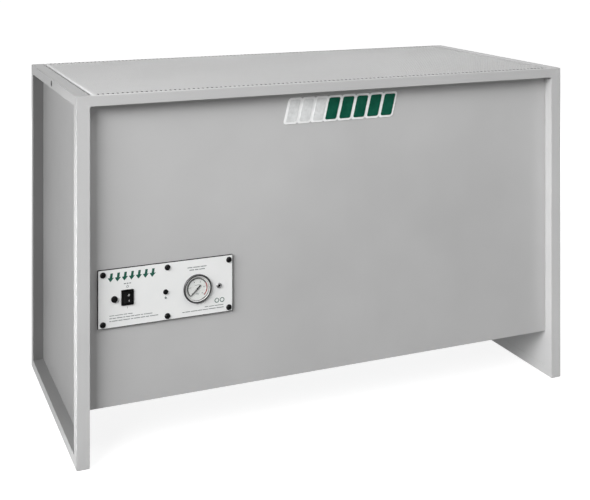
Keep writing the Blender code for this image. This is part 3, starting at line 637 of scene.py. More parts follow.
def tray():
    """The folded rim: flange, bend and the plain margin round the field, as one closed ring."""
    arc = [math.radians(a) for a in (0, 22.5, 45, 67.5, 90)]
    section = [(0.0, wz0)] + [(FOLD * (1 - math.cos(a)), wz1 - FOLD + FOLD * math.sin(a)) for a in arc]
    section += [(None, wz1), (None, wz1 - SHEET)]
    inner = FOLD - SHEET
    section += [(SHEET + inner * (1 - math.cos(a)), wz1 - FOLD + inner * math.sin(a)) for a in reversed(arc)]
    section += [(SHEET, wz0)]
    verts, faces = [], []
    corners = []
    for inset, z in section:
        # each corner of the rim is eased by a small radius, larger outside than inside; the field's corners are square
        ix, iy = (MARGIN_X, MARGIN_Y) if inset is None else (inset, inset)
        r = 0.0 if inset is None else max(0.0006, 0.0025 - inset)
        loop = []
        for sx, sy, a0 in ((1, 1, 0), (-1, 1, 90), (-1, -1, 180), (1, -1, 270)):
            cx = sx * (wx1 - ix - r)
            cy = sy * (wy1 - iy - r)
            for i in range(4):
                a = math.radians(a0 + 30 * i)
                loop.append(len(verts))
                verts.append((cx + r * math.cos(a), cy + r * math.sin(a), z))
        corners.append(loop)
    m = len(corners[0])
    for a, b in zip(corners, corners[1:] + corners[:1]):
        for k in range(m):
            j = (k + 1) % m
            faces.append((a[k], a[j], b[j], b[k]))
    return piece("worktop_rim", verts, faces, TOP, "worktop", ("worktop",))


def perforated(name, x0, x1, y0, y1, cols, rows, first, r, long_=1.0, slot_wall_shade=None):
    """A strip of staggered hexagon-edged holes. Odd rows are shifted by half a pitch and end in plain half cells."""
    p, h = (x1 - x0) / cols, (y1 - y0) / rows
    zt, zb = wz1, wz1 - SHEET
    # boundary points sit every half pitch, on every row line
    nx = 2 * cols + 1
    gx = x0 + np.arange(nx) * p / 2
    gy = y0 + np.arange(rows + 1) * h
    grid = np.empty((rows + 1, nx, 3))
    grid[..., 0] = gx[None, :]
    grid[..., 1] = gy[:, None]
    top = grid.copy()
    top[..., 2] = zt
    bot = grid.copy()
    bot[..., 2] = zb
    verts = [top.reshape(-1, 3), bot.reshape(-1, 3)]
    ng = (rows + 1) * nx
    at = lambda row, k, side: side * ng + row * nx + k
    centres, cells = [], []
    quads = []
    for row in range(rows):
        odd = (first + row) % 2
        if odd:
            for side in (0, 1):
                for a in (0, nx - 2):
                    q = (at(row, a, side), at(row, a + 1, side), at(row + 1, a + 1, side), at(row + 1, a, side))
                    quads.append(q if side == 0 else q[::-1])
        for c in range(cols - odd):
            k = 2 * c + odd
            centres.append((gx[k + 1], (gy[row] + gy[row + 1]) / 2))
            cells.append((row, k))
    centres = np.array(centres)
    cells = np.array(cells)
    n = len(centres)
    ang = np.radians([90, 30, -30, -90, -150, 150])
    ring = np.stack([np.cos(ang) * r, np.sin(ang) * r * long_], 1)
    hole = centres[:, None, :] + ring[None]
    ht = np.concatenate([hole, np.full((n, 6, 1), zt)], 2).reshape(-1, 3)
    hb = np.concatenate([hole, np.full((n, 6, 1), zb)], 2).reshape(-1, 3)
    verts += [ht, hb]
    base_t, base_b = 2 * ng, 2 * ng + 6 * n
    row, k = cells[:, 0], cells[:, 1]
    # the cell's six boundary points in the same order as the hole's corners, clockwise from the top middle
    edge = np.stack([
        (row + 1) * nx + k + 1, (row + 1) * nx + k + 2, row * nx + k + 2,
        row * nx + k + 1, row * nx + k, (row + 1) * nx + k], 1)
    idx = np.arange(n)[:, None] * 6 + np.arange(6)[None]
    nxt = np.arange(n)[:, None] * 6 + (np.arange(6)[None] + 1) % 6
    edge_next = np.roll(edge, -1, axis=1)
    qt = np.stack([edge, base_t + idx, base_t + nxt, edge_next], 2).reshape(-1, 4)
    qb = np.stack([edge_next + ng, base_b + nxt, base_b + idx, edge + ng], 2).reshape(-1, 4)
    qw = np.stack([base_t + nxt, base_t + idx, base_b + idx, base_b + nxt], 2).reshape(-1, 4)
    rim = []
    for a in range(nx - 1):
        rim.append((at(0, a, 1), at(0, a + 1, 1), at(0, a + 1, 0), at(0, a, 0)))
        rim.append((at(rows, a + 1, 1), at(rows, a, 1), at(rows, a, 0), at(rows, a + 1, 0)))
    for b in range(rows):
        rim.append((at(b + 1, 0, 1), at(b, 0, 1), at(b, 0, 0), at(b + 1, 0, 0)))
        rim.append((at(b, nx - 1, 1), at(b + 1, nx - 1, 1), at(b + 1, nx - 1, 0), at(b, nx - 1, 0)))
    faces = np.concatenate([qt, qb, qw, np.array(rim), np.array(quads).reshape(-1, 4)]).astype(np.int32)
    verts = np.concatenate(verts).astype(np.float32)
    me = bpy.data.meshes.new(name)
    me.vertices.add(len(verts))
    me.vertices.foreach_set("co", verts.ravel())
    me.loops.add(faces.size)
    me.loops.foreach_set("vertex_index", faces.ravel())
    me.polygons.add(len(faces))
    me.polygons.foreach_set("loop_start", np.arange(0, faces.size, 4, dtype=np.int32))
    me.update(calc_edges=True)
    # the top skin should face up
    if me.polygons[0].normal.z < 0:
        me.flip_normals()
    ob = place(name, me, TOP, "worktop", smooth=False)
    if slot_wall_shade:                                 # the walls of the slots are near-black: painted shade
        me.materials.append(slot_wall_shade)
        index = np.zeros(len(faces), dtype=np.int32)
        index[len(qt) + len(qb):len(qt) + len(qb) + len(qw)] = 1
        me.polygons.foreach_set("material_index", index)
    return ob


tray()
STRIPS, ROWS, COLS = 8, 17, 216
fx0, fx1, fy0, fy1 = wx0 + MARGIN_X, wx1 - MARGIN_X, wy0 + MARGIN_Y, wy1 - MARGIN_Y
EDGE_ROW = 0.0140                            # the rows of short slots along the front and rear bends
# the slots along the bends get near-black walls: painted shade
perforated("worktop_slots_front", fx0, fx1, fy0, fy0 + EDGE_ROW, COLS // 2, 1, 0, 0.0027, 2.25, BLACK_AND_SHADE)
perforated("worktop_slots_rear", fx0, fx1, fy1 - EDGE_ROW, fy1, COLS // 2, 1, 0, 0.0027, 2.25, BLACK_AND_SHADE)
fy0, fy1 = fy0 + EDGE_ROW, fy1 - EDGE_ROW
for s in range(STRIPS):
    a = fy0 + (fy1 - fy0) * s / STRIPS
    b = fy0 + (fy1 - fy0) * (s + 1) / STRIPS
    perforated("worktop_field_%d" % (s + 1), fx0, fx1, a, b, COLS, ROWS, s * ROWS, 0.00172)

# ============================================================================================
# control plate fittings
# ============================================================================================
(px0, py0, pz0), (px1, py1, pz1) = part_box("control_plate")
FACE = py0                                   # front face of the plate
SEAT = FACE - 0.0003                         # where fittings sit
joints = {j["name"]: j for j in frame["joints"]}


def middle(node):
    a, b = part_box(node)
    return (a.x + b.x) / 2, (a.z + b.z) / 2


# a near-black band round the plate, standing about a millimetre beyond its edge: the plate's black edge and gasket,
# and painted shade for the shadow gap round the plate
E0, E1, EW, ET = FACE + 0.0003, -0.3054, 0.0011, 0.0007
joined("plate_edge_band", [
    block((px0 - EW, E0, pz0 - ET), (px0 - 0.00002, E1, pz1 + ET)), block((px1 + 0.00002, E0, pz0 - ET), (px1 + EW, E1, pz1 + ET)),
    block((px0, E0, pz1 + 0.00002), (px1, E1, pz1 + ET)), block((px0, E0, pz0 - ET), (px1, E1, pz0 - 0.00002))], BLACK_AND_SHADE, "cabinet")

# six black button-head screws with a hexagon socket
for n in ("lower_left", "lower_middle", "lower_right", "upper_left", "upper_middle", "upper_right"):
    x, z = middle("plate_screw_" + n)
    turn = sum(map(ord, n)) % 60
    rings = [(0, 0.0012), (0.0017, 0.0012), (0.0018, 0.0038), (0.0022, 0.0041), (0.0032, 0.0039), (0.0045, 0.0033), (0.0056, 0.0023), (0.0064, 0.0012), (0.0068, 0.0005), (0.0069, 0.0001), (0.0066, -0.0001), (0.0025, -0.0001), (0.0025, -0.0109), (0.0021, -0.0112), (0, -0.0112)]
    revolve("screw_" + n, rings, SCREW, "cabinet", to_front(x, z, SEAT) @ Matrix.Rotation(math.radians(turn), 4, "Z"), 48,
            ("plate_screw_" + n,), {1: hexagon, 2: hexagon})

# fuse carrier: knurled cap with a raised bar, fuse, and the socket behind
x, z = middle("fuse_cap")
knurl = lambda a: 1.0 + 0.022 * (1 if math.sin(a * 24) > 0 else -1)
revolve("fuse_cap_knob", [(0, 0.0056), (0.0050, 0.0056), (0.0062, 0.0050), (0.0069, 0.0042), (0.0071, 0.0040), (0.0071, 0.0012), (0.0074, 0.0011), (0.0075, 0.0003), (0.0072, 0.0002), (0.0026, 0.0002), (0.0026, -0.0011), (0, -0.0011)],
        BLACK, "fuse_carrier", to_front(x, z, SEAT), 96, ("fuse_cap",), {4: knurl, 5: knurl})
slot_matrix = to_front(x, z, SEAT) @ Matrix.Rotation(math.radians(35), 4, "Z")
joined("fuse_cap_bar", [block((-0.0043, -0.0008, 0.0055), (0.0043, 0.0008, 0.0062), slot_matrix)], BLACK, "fuse_carrier", width=0.0002)
revolve("fuse_cartridge", [(0, -0.0015), (0.0022, -0.0015), (0.0026, -0.0018), (0.0026, -0.0065), (0.0022, -0.0068), (0.0022, -0.0162), (0.0026, -0.0165), (0.0026, -0.0212), (0.0022, -0.0215), (0, -0.0215)],
        GLASS, "fuse_carrier", to_front(x, z, SEAT), 32, ("fuse_link",))
for k, (h0, h1) in enumerate(((-0.0013, -0.0064), (-0.0166, -0.0217))):
    revolve("fuse_end_%d" % k, [(0, h0), (0.0024, h0), (0.0027, h0 - 0.0003), (0.0027, h1 + 0.0003), (0.0024, h1), (0, h1)], CHROME, "fuse_carrier", to_front(x, z, SEAT), 32)
revolve("fuse_socket_body", [(0.0031, -0.0012), (0.0060, -0.0012), (0.0060, -0.0300), (0.0031, -0.0300)], BLACK, "cabinet", to_front(x, z, SEAT), 40, ("fuse_socket",))

# sounder: domed cap with a small sound hole
x, z = middle("alarm_sounder")
revolve("sounder_cap", [(0, 0.0021), (0.0010, 0.0021), (0.0011, 0.0034), (0.0026, 0.0036), (0.0044, 0.0031), (0.0054, 0.0022), (0.0059, 0.0010), (0.0060, 0.0001), (0.0046, 0.0), (0.0046, -0.0100), (0, -0.0100)],
        BLACK, "cabinet", to_front(x, z, SEAT), 48, ("alarm_sounder",))
x, z = middle("status_lamp")
revolve("lamp_dome", [(0, 0.0021), (0.0009, 0.0019), (0.0016, 0.0014), (0.0020, 0.0007), (0.0021, 0.0001), (0.0025, 0.0000), (0.0024, -0.0001), (0.0021, -0.0003), (0.0021, -0.0060), (0, -0.0060)],
        LAMP, "cabinet", to_front(x, z, SEAT), 40, ("status_lamp",))

# test port: collar, and a black domed plug in its bore
x, z = middle("test_port")
revolve("test_port_collar", [(0.0034, 0.0026), (0.0040, 0.0032), (0.0047, 0.0029), (0.0049, 0.0018), (0.0052, 0.0014), (0.0058, 0.0011), (0.0062, 0.0008), (0.0063, 0.0001), (0.0045, 0.0), (0.0045, -0.0120), (0.0030, -0.0120), (0.0030, 0.0020)],
        SATIN, "cabinet", to_front(x, z, SEAT), 48, ("test_port",))
# a black plug fills the bore: painted shade for the hole
revolve("test_port_bore_shade", [(0, 0.0016), (0.0012, 0.0015), (0.0020, 0.0012), (0.0028, 0.0010), (0.0029, 0.0006), (0.0029, -0.0100), (0, -0.0100)], BLACK, "cabinet", to_front(x, z, SEAT), 32)


# rocker switch -----------------------------------------------------------------------------
(sx0, sy0, sz0), (sx1, sy1, sz1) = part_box("switch_body")
sx, sz = (sx0 + sx1) / 2, (sz0 + sz1) / 2


def switch_bezel():
    """A frame with rounded corners and a sloped inner lip, and the moulded body behind it."""
    verts, faces, loops = [], [], []
    section = [  # (half width, half height, corner radius, y from the seat)
        (0.0145, 0.0180, 0.0020, 0.0), (0.0145, 0.0180, 0.0020, -0.0010), (0.0139, 0.0174, 0.0018, -0.0020),
        (0.0108, 0.0148, 0.0010, -0.0020), (0.0101, 0.0141, 0.0007, -0.0014), (0.0101, 0.0141, 0.0007, 0.0098),
        (0.0002, 0.0002, 0.0001, 0.0098), (0.0002, 0.0002, 0.0001, 0.0258), (0.0108, 0.0144, 0.0010, 0.0258), (0.0110, 0.0146, 0.0010, 0.0)]
    for hw, hh, r, y in section:
        out = rounded(sx - hw, sz - hh, sx + hw, sz + hh, r, 4)
        loops.append([len(verts) + i for i in range(len(out))])
        verts += [(a, SEAT + y, b) for a, b in out]
    m = len(loops[0])
    # the two smallest loops close the floor of the recess and the back of the body
    order = loops
    for i, (a, b) in enumerate(zip(order, order[1:] + order[:1])):
        if i == 6:
            continue
        faces += [(a[k], a[(k + 1) % m], b[(k + 1) % m], b[k]) for k in range(m)]
    faces += [tuple(order[6]), tuple(reversed(order[7]))]
    return piece("switch_bezel", verts, faces, BLACK, "cabinet", ("switch_body",))


switch_bezel()

pivot = Vector(joints["rocker_tilt"]["pos_m"])
TILT = Matrix.Translation(pivot) @ Matrix.Rotation(math.radians(-10), 4, "X") @ Matrix.Translation(-pivot)


def rocker_point(u, v):
    """A point on the rocker's face: u along X, v along Z, both in metres from the pivot; two gently hollow halves."""
    t = abs(v) / 0.0126
    return -(0.0017 + 0.0019 * t ** 1.6)


def rocker():
    verts, faces = [], []
    hw, hh = 0.0095, 0.0126
    nu, nv = 12, 40
    rowsv = []
    for i in range(nv + 1):
        v = -hh + 2 * hh * i / nv
        row = []
        for j in range(nu + 1):
            u = -hw + 2 * hw * j / nu
            edge = max(0.0, abs(u) - (hw - 0.0007)) / 0.0007
            end = max(0.0, abs(v) - (hh - 0.0007)) / 0.0007
            y = rocker_point(u, v) + 0.00045 * (edge ** 2 + end ** 2)
            row.append(len(verts))
            verts.append(pivot + Vector((u, y, v)))
        rowsv.append(row)
    for i in range(nv):
        for j in range(nu):
            faces.append((rowsv[i][j], rowsv[i][j + 1], rowsv[i + 1][j + 1], rowsv[i + 1][j]))
    # sides drop to a narrower base inside the recess
    rim = rowsv[0] + [r[-1] for r in rowsv[1:]] + rowsv[-1][-2::-1] + [r[0] for r in rowsv[-2:0:-1]]
    low = []
    for k in rim:
        p = verts[k] - pivot
        low.append(len(verts))
        verts.append(pivot + Vector((p.x, 0.0048, max(-0.0093, min(0.0093, p.z)))))
    mid = []
    for k in rim:
        p = verts[k] - pivot
        mid.append(len(verts))
        verts.append(pivot + Vector((p.x, 0.0, p.z)))
    m = len(rim)
    for a, b in ((rim, mid), (mid, low)):
        for k in range(m):
            j = (k + 1) % m
            faces.append((a[k], b[k], b[j], a[j]))
    faces.append(tuple(reversed(low)))
    verts = [TILT @ Vector(v) for v in verts]
    return piece("rocker_key", verts, faces, BLACK, "rocker", ("switch_rocker",))


rocker()


def on_rocker(name, outline, mat):
    """A mark that follows the rocker's hollow face."""
    n = len(outline)
    front = [TILT @ (pivot + Vector((u, rocker_point(u, v) - 0.00010, v))) for u, v in outline]
    back = [TILT @ (pivot + Vector((u, rocker_point(u, v) + 0.00005, v))) for u, v in outline]
    faces = [(i, (i + 1) % n, n + (i + 1) % n, n + i) for i in range(n)]
    half = n // 2
    # outlines are strips: the first half runs out, the second half comes back beside it
    for i in range(half - 1):
        a, b, c, d = i, i + 1, n - 2 - i, n - 1 - i
        faces.append((a, b, c, d))
        faces.append((n + d, n + c, n + b, n + a))
    piece(name, front + back, faces, mat, "rocker", smooth=False)


steps = [math.tau * i / 40 for i in range(39)]
on_rocker("mark_off", [(0.0028 + 0.0021 * math.cos(a), 0.0048 + 0.0021 * math.sin(a)) for a in steps] + [(0.0028 + 0.0014 * math.cos(a), 0.0048 + 0.0014 * math.sin(a)) for a in reversed(steps)], WHITE_INK)
on_rocker("mark_on", [(0.0028 - 0.0004, -0.0052 - 0.0040 * i / 8) for i in range(9)] + [(0.0028 + 0.0004, -0.0092 + 0.0040 * i / 8) for i in range(9)], WHITE_INK)

# gauge ---------------------------------------------------------------------------------------
gx, gz = middle("gauge_bezel")
G = to_front(gx, gz, SEAT)
revolve("gauge_rim", [(0.0299, 0.0048), (0.0301, 0.0052), (0.0307, 0.0056), (0.0314, 0.0058), (0.0322, 0.0058), (0.0331, 0.0053), (0.0337, 0.0044), (0.0340, 0.0034), (0.0340, 0.0010), (0.0337, 0.0002), (0.0306, 0.0001), (0.0305, 0.0038), (0.0299, 0.0040)],
        BEZEL, "cabinet", G, 128, ("gauge_bezel",))
revolve("gauge_reflector", [(0.0284, 0.0045), (0.0298, 0.0048), (0.0299, 0.0040), (0.0284, 0.0036)], DIAL, "cabinet", G, 96)
revolve("gauge_cup", [(0, -0.0080), (0.0014, -0.0080), (0.0014, -0.0012), (0.0287, -0.0012), (0.0287, 0.0032), (0.0302, 0.0032), (0.0302, -0.0280), (0.0290, -0.0300), (0.0120, -0.0305), (0.0075, -0.0320), (0.0052, -0.0325), (0.0052, -0.0345), (0.0042, -0.0350), (0.0050, -0.0365), (0.0040, -0.0375), (0.0046, -0.0392), (0.0036, -0.0402), (0.0036, -0.0410), (0, -0.0410)],
        BLACK, "cabinet", G, 96, ("gauge_case",))
revolve("gauge_face", [(0.0016, 0.0), (0.0282, 0.0), (0.0284, -0.0001), (0.0284, -0.0006), (0.0016, -0.0007)], DIAL, "cabinet", G, 96, ("gauge_dial",))
revolve("gauge_window", [(0, 0.0046), (0.0120, 0.0046), (0.0220, 0.0045), (0.0282, 0.0044), (0.0282, 0.0035), (0.0220, 0.0036), (0.0120, 0.0036), (0, 0.0036)], GLASS, "cabinet", G, 96, ("gauge_lens",))
PRINT0, PRINT1 = SEAT - 0.00010, SEAT - 0.00001
ZERO, FULL = -135.0, 135.0
slabs("dial_arc", [ring_sector(gx, gz, 0.0224, 0.0246, ZERO, 58, 64)], PRINT0, PRINT1, DIAL_INK, "cabinet")
slabs("dial_red_arc", [ring_sector(gx, gz, 0.0224, 0.0246, 59, FULL, 36)], PRINT0, PRINT1, RED_INK, "cabinet")
ticks = []
for i in range(51):
    a = ZERO + (FULL - ZERO) * i / 50
    long_ = i % 10 == 0
    mid_ = i % 5 == 0
    r0, half_w = (0.0190, 0.60) if long_ else (0.0206, 0.42) if mid_ else (0.0214, 0.28)
    ticks.append(ring_sector(gx, gz, r0, 0.0225, a - half_w, a + half_w, 2))
slabs("dial_ticks", ticks, PRINT0, PRINT1, INK, "cabinet")
for i in range(6):
    a = math.radians(ZERO + (FULL - ZERO) * i / 5)
    numeral("dial_number_%d" % i, str(i * 2), gx + 0.0165 * math.sin(a), gz + 0.0165 * math.cos(a), 0.0046, PRINT0 + 0.00005, INK, "cabinet")
slabs("dial_marks", [rounded(gx - 0.0065, gz + 0.0076, gx + 0.0065, gz + 0.0086, 0.0004, 2), rounded(gx - 0.0050, gz - 0.0120, gx + 0.0050, gz - 0.0111, 0.0003, 2), rounded(gx - 0.0035, gz - 0.0142, gx + 0.0035, gz - 0.0134, 0.0003, 2)],
      PRINT0, PRINT1, GREY_INK, "cabinet")


def needle():
    """A tapered pointer with a counterweight tail, on a turned hub; at rest it points to zero."""
    a = math.radians(-135)
    turn = G @ Matrix.Rotation(-a, 4, "Z")
    flat = [(0.00035, 0.0226), (0.00095, 0.0200), (0.00125, 0.0), (0.00155, -0.0070), (0.00165, -0.0103), (0.0, -0.0110), (-0.00165, -0.0103), (-0.00155, -0.0070), (-0.00125, 0.0), (-0.00095, 0.0200), (-0.00035, 0.0226)]
    n = len(flat)
    v = [turn @ Vector((x, y, 0.0022)) for x, y in flat] + [turn @ Vector((x, y, 0.0017)) for x, y in flat]
    f = [tuple(range(n)), tuple(reversed(range(n, 2 * n)))] + [(i, (i + 1) % n, n + (i + 1) % n, n + i) for i in range(n)]
    piece("needle_pointer", v, f, DIAL_INK, "needle", ("gauge_needle",), width=0.00005, segments=1)
    revolve("needle_hub", [(0, 0.0030), (0.0010, 0.0030), (0.0017, 0.0027), (0.0020, 0.0022), (0.0020, 0.0015), (0.0010, 0.0014), (0.0010, -0.0074), (0, -0.0074)], BLACK, "needle", G, 40)


needle()

# printed marks on the plate: plain bars in place of lettering, a flow sign and a power sign -------
P0, P1 = FACE - 0.00014, FACE - 0.00001


def words(x, z, lengths, h, gap=0.0014):
    """Short plain bars in a row, the place of a line of small print."""
    out = []
    for w in lengths:
        out.append(rounded(x, z, x + w, z + h, h * 0.35, 2))
        x += w + gap
    return out


arrows = []
for i in range(7):
    cx, cz = px0 + 0.0290 + 0.0162 * i, pz1 - 0.0182
    lean = 0.0016
    arrows.append([(cx - 0.0029 + lean, cz + 0.0098), (cx + 0.0029 + lean, cz + 0.0098), (cx + 0.0029, cz - 0.0004), (cx + 0.0068, cz - 0.0004), (cx - lean, cz - 0.0098), (cx - 0.0068 - lean * 0.5, cz - 0.0004), (cx - 0.0029, cz - 0.0004)])
slabs("plate_flow_sign", arrows, P0, P1, GREEN_INK, "cabinet")
top_z = sz1 + 0.0046
power = [ring_sector(sx, top_z + 0.0026, 0.0022, 0.0030, 35, 325, 30), rounded(sx - 0.0004, top_z + 0.0024, sx + 0.0004, top_z + 0.0064, 0.0002, 2)]
power += words(sx - 0.0085, top_z + 0.0086, (0.0052, 0.0044, 0.0044), 0.0019, 0.0014)
slabs("plate_power_sign", power, P0, P1, GREY_INK, "cabinet")
slabs("plate_on_sign", [rounded(sx - 0.0004, sz0 - 0.0078, sx + 0.0004, sz0 - 0.0036, 0.0002, 2)], P0, P1, GREY_INK, "cabinet")
fine = []
fine += words(px0 + 0.0250, pz0 + 0.0262, (0.012, 0.018, 0.009, 0.011), 0.0014)
fine += words(px0 + 0.0250, pz0 + 0.0200, (0.006, 0.008, 0.014, 0.005, 0.010, 0.008, 0.012, 0.006, 0.020), 0.0016)
fine += words(px0 + 0.0250, pz0 + 0.0138, (0.005, 0.013, 0.010, 0.016, 0.006, 0.014, 0.011, 0.008, 0.020), 0.0016)
fine += words(px1 - 0.0690, pz0 + 0.0165, (0.009, 0.013, 0.022), 0.0016)
fine += words(px1 - 0.1230, pz0 + 0.0105, (0.006, 0.012, 0.016, 0.010, 0.013, 0.018, 0.018), 0.0016)
slabs("plate_fine_bars", fine, P0, P1, GREY_INK, "cabinet")
head = words(gx - 0.0240, gz + 0.0500, (0.012, 0.016, 0.015), 0.0019, 0.0018) + words(gx - 0.0190, gz + 0.0440, (0.011, 0.009, 0.014), 0.0019, 0.0018)
slabs("plate_gauge_bars", head, P0, P1, GREY_INK, "cabinet")
# two small green rings above the lower right screw
for k, rx in enumerate((px1 - 0.0385, px1 - 0.0255)):
    slabs("plate_ring_sign_%d" % (k + 1), [ring_sector(rx, pz0 + 0.0290, 0.0040, 0.0056, 0, 359.5, 48)], P0, P1, GREEN_INK, "cabinet")

# ============================================================================================
# front badge: a row of slanted louvre bars, plain
# ============================================================================================
(bx0, by0, bz0), (bx1, by1, bz1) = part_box("front_badge")
BY = by1                                    # its back, against the panel


def slanted(x, z0, z1, w, lean, grow=0.0, r=0.004):
    """A leaning bar with rounded corners; grow widens it on every side."""
    h = z1 - z0
    out = rounded(-w / 2 - grow, -grow, w / 2 + grow, h + grow, r + grow * 0.6, 6)
    return [(x + u + lean * v, z0 + v) for u, v in out]


badge_rims, badge_bars, pale_bars = [], [], []
heights = (0.054,) * 8
bar_x = bx0 + 0.0230
for i, hgt in enumerate(heights):
    w = 0.0270 if i < 3 else 0.0300
    z0 = bz0 + 0.0065
    badge_rims.append(slanted(bar_x, z0, z0 + hgt, w, 0.24, 0.0052, 0.0045))
    (pale_bars if i < 3 else badge_bars).append(slanted(bar_x, z0, z0 + hgt, w, 0.24, 0.0, 0.0045))
    bar_x += w + 0.0082 if i < 2 else w + 0.0084
rims = []
for i, o in enumerate(badge_rims):
    y0 = BY - 0.0009 - 0.00004 * (i % 2)
    n = len(o)
    rims.append(([(x, y0, z) for x, z in o] + [(x, BY, z) for x, z in o],
                 [tuple(range(n)), tuple(range(2 * n - 1, n - 1, -1))] + [(k, (k + 1) % n, n + (k + 1) % n, n + k) for k in range(n)]))
base = None
for i, (v, f) in enumerate(rims):
    ob = piece("badge_rim_%d" % (i + 1), v, f, BADGE_WHITE, "cabinet", ("front_badge",) if i == 0 else (), width=0.00025)
for i, o in enumerate(pale_bars):
    slab("badge_pale_%d" % (i + 1), o, BY - 0.0017, BY - 0.00085, BADGE_PALE, "cabinet", width=0.00035)
for i, o in enumerate(badge_bars):
    slab("badge_bar_%d" % (i + 1), o, BY - 0.0018, BY - 0.00085, BADGE_GREEN, "cabinet", width=0.00035)

# ============================================================================================
# threaded inserts in the end frames
# ============================================================================================
for label, side in (("left", -1), ("right", 1)):
    a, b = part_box(label + "_rail_insert")
    cz = (a.z + b.z) / 2
    m = Matrix.Translation((side * 0.650, 0, cz)) @ Matrix.Rotation(math.radians(90 * side), 4, "Y")
    thread = []
    h = -0.0008
    while h > -0.0118:
        thread += [(0.0038, h), (0.0034, h - 0.00062)]
        h -= 0.00125
    rings = [(0.0042, 0.0004)] + [(0.0070, 0.0004), (0.0074, 0.0001), (0.0074, 0.0), (0.0060, 0.0), (0.0060, -0.0126), (0.0057, -0.0130), (0.0040, -0.0130)] + list(reversed(thread))
    # the bush is near-black metal: painted shade for its hole
    revolve(label + "_insert_bush", rings, BUSH_SHADE, "cabinet", m, 48, (label + "_rail_insert",))

# ============================================================================================
# rear: louvre fins, panel and grille screws, mains pins
# ============================================================================================
(rx0, ry0, rz0), (rx1, ry1, rz1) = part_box("exhaust_grille")
fins = []
for i in range(9):
    z = 0.182 + i * 0.0265
    m = Matrix.Translation((0, ry0 - 0.0030, z + 0.0085)) @ Matrix.Rotation(math.radians(38), 4, "X")
    fins.append(block((-0.2020, -0.0070, -0.0006), (0.2020, 0.0055, 0.0006), m))
joined("grille_fins", fins, COAT, "cabinet", width=0.0003)


def pan_head(name, x, z, y, outward, r=0.0042, body="cabinet"):
    """A small pan-head screw with a cross recess on a vertical face; outward is -1 for the front, +1 for the rear."""
    m = Matrix.Translation((x, y, z)) @ Matrix.Rotation(math.radians(90 if outward < 0 else -90), 4, "X")
    cross = lambda a: 0.55 + 0.75 * max(0.0, math.cos(2 * a) ** 8)
    rings = [(0, 0.0008), (0.0009, 0.0010), (0.0011, 0.0022), (r * 0.62, 0.0023), (r * 0.86, 0.0017), (r * 0.98, 0.0009), (r, 0.0002), (r * 0.97, 0.0), (0, 0.0)]
    revolve(name, rings, CHROME, body, m, 40, (), {1: cross, 2: cross})


k = 0
for z in (0.150, 0.345, 0.560, 0.790):
    for x in (-0.605, 0.605):
        k += 1
        pan_head("rear_panel_screw_%d" % k, x, z, 0.3051, 1)
for x in (-0.30, 0.0, 0.30):
    k += 1
    pan_head("rear_panel_screw_%d" % k, x, 0.790, 0.3051, 1)
for k, (x, z) in enumerate(((-0.222, 0.158), (0.222, 0.158), (-0.222, 0.422), (0.222, 0.422), (0.0, 0.158), (0.0, 0.422))):
    pan_head("grille_screw_%d" % (k + 1), x, z, ry1 + 0.0001, 1, 0.0036)
ia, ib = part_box("mains_inlet")
for k, x in enumerate((ia.x + 0.0045, ib.x - 0.0045)):
    pan_head("inlet_screw_%d" % (k + 1), x, (ia.z + ib.z) / 2, ib.y + 0.0001, 1, 0.0026)
ix, iz = (ia.x + ib.x) / 2, (ia.z + ib.z) / 2
pins = [block((ix + dx - 0.0010, 0.2902, iz + dz - 0.0021), (ix + dx + 0.0010, 0.3035, iz + dz + 0.0021)) for dx, dz in ((-0.0070, -0.0022), (0.0070, -0.0022), (0.0, 0.0030))]
joined("mains_pins", pins, CHROME, "cabinet", width=0.0003)

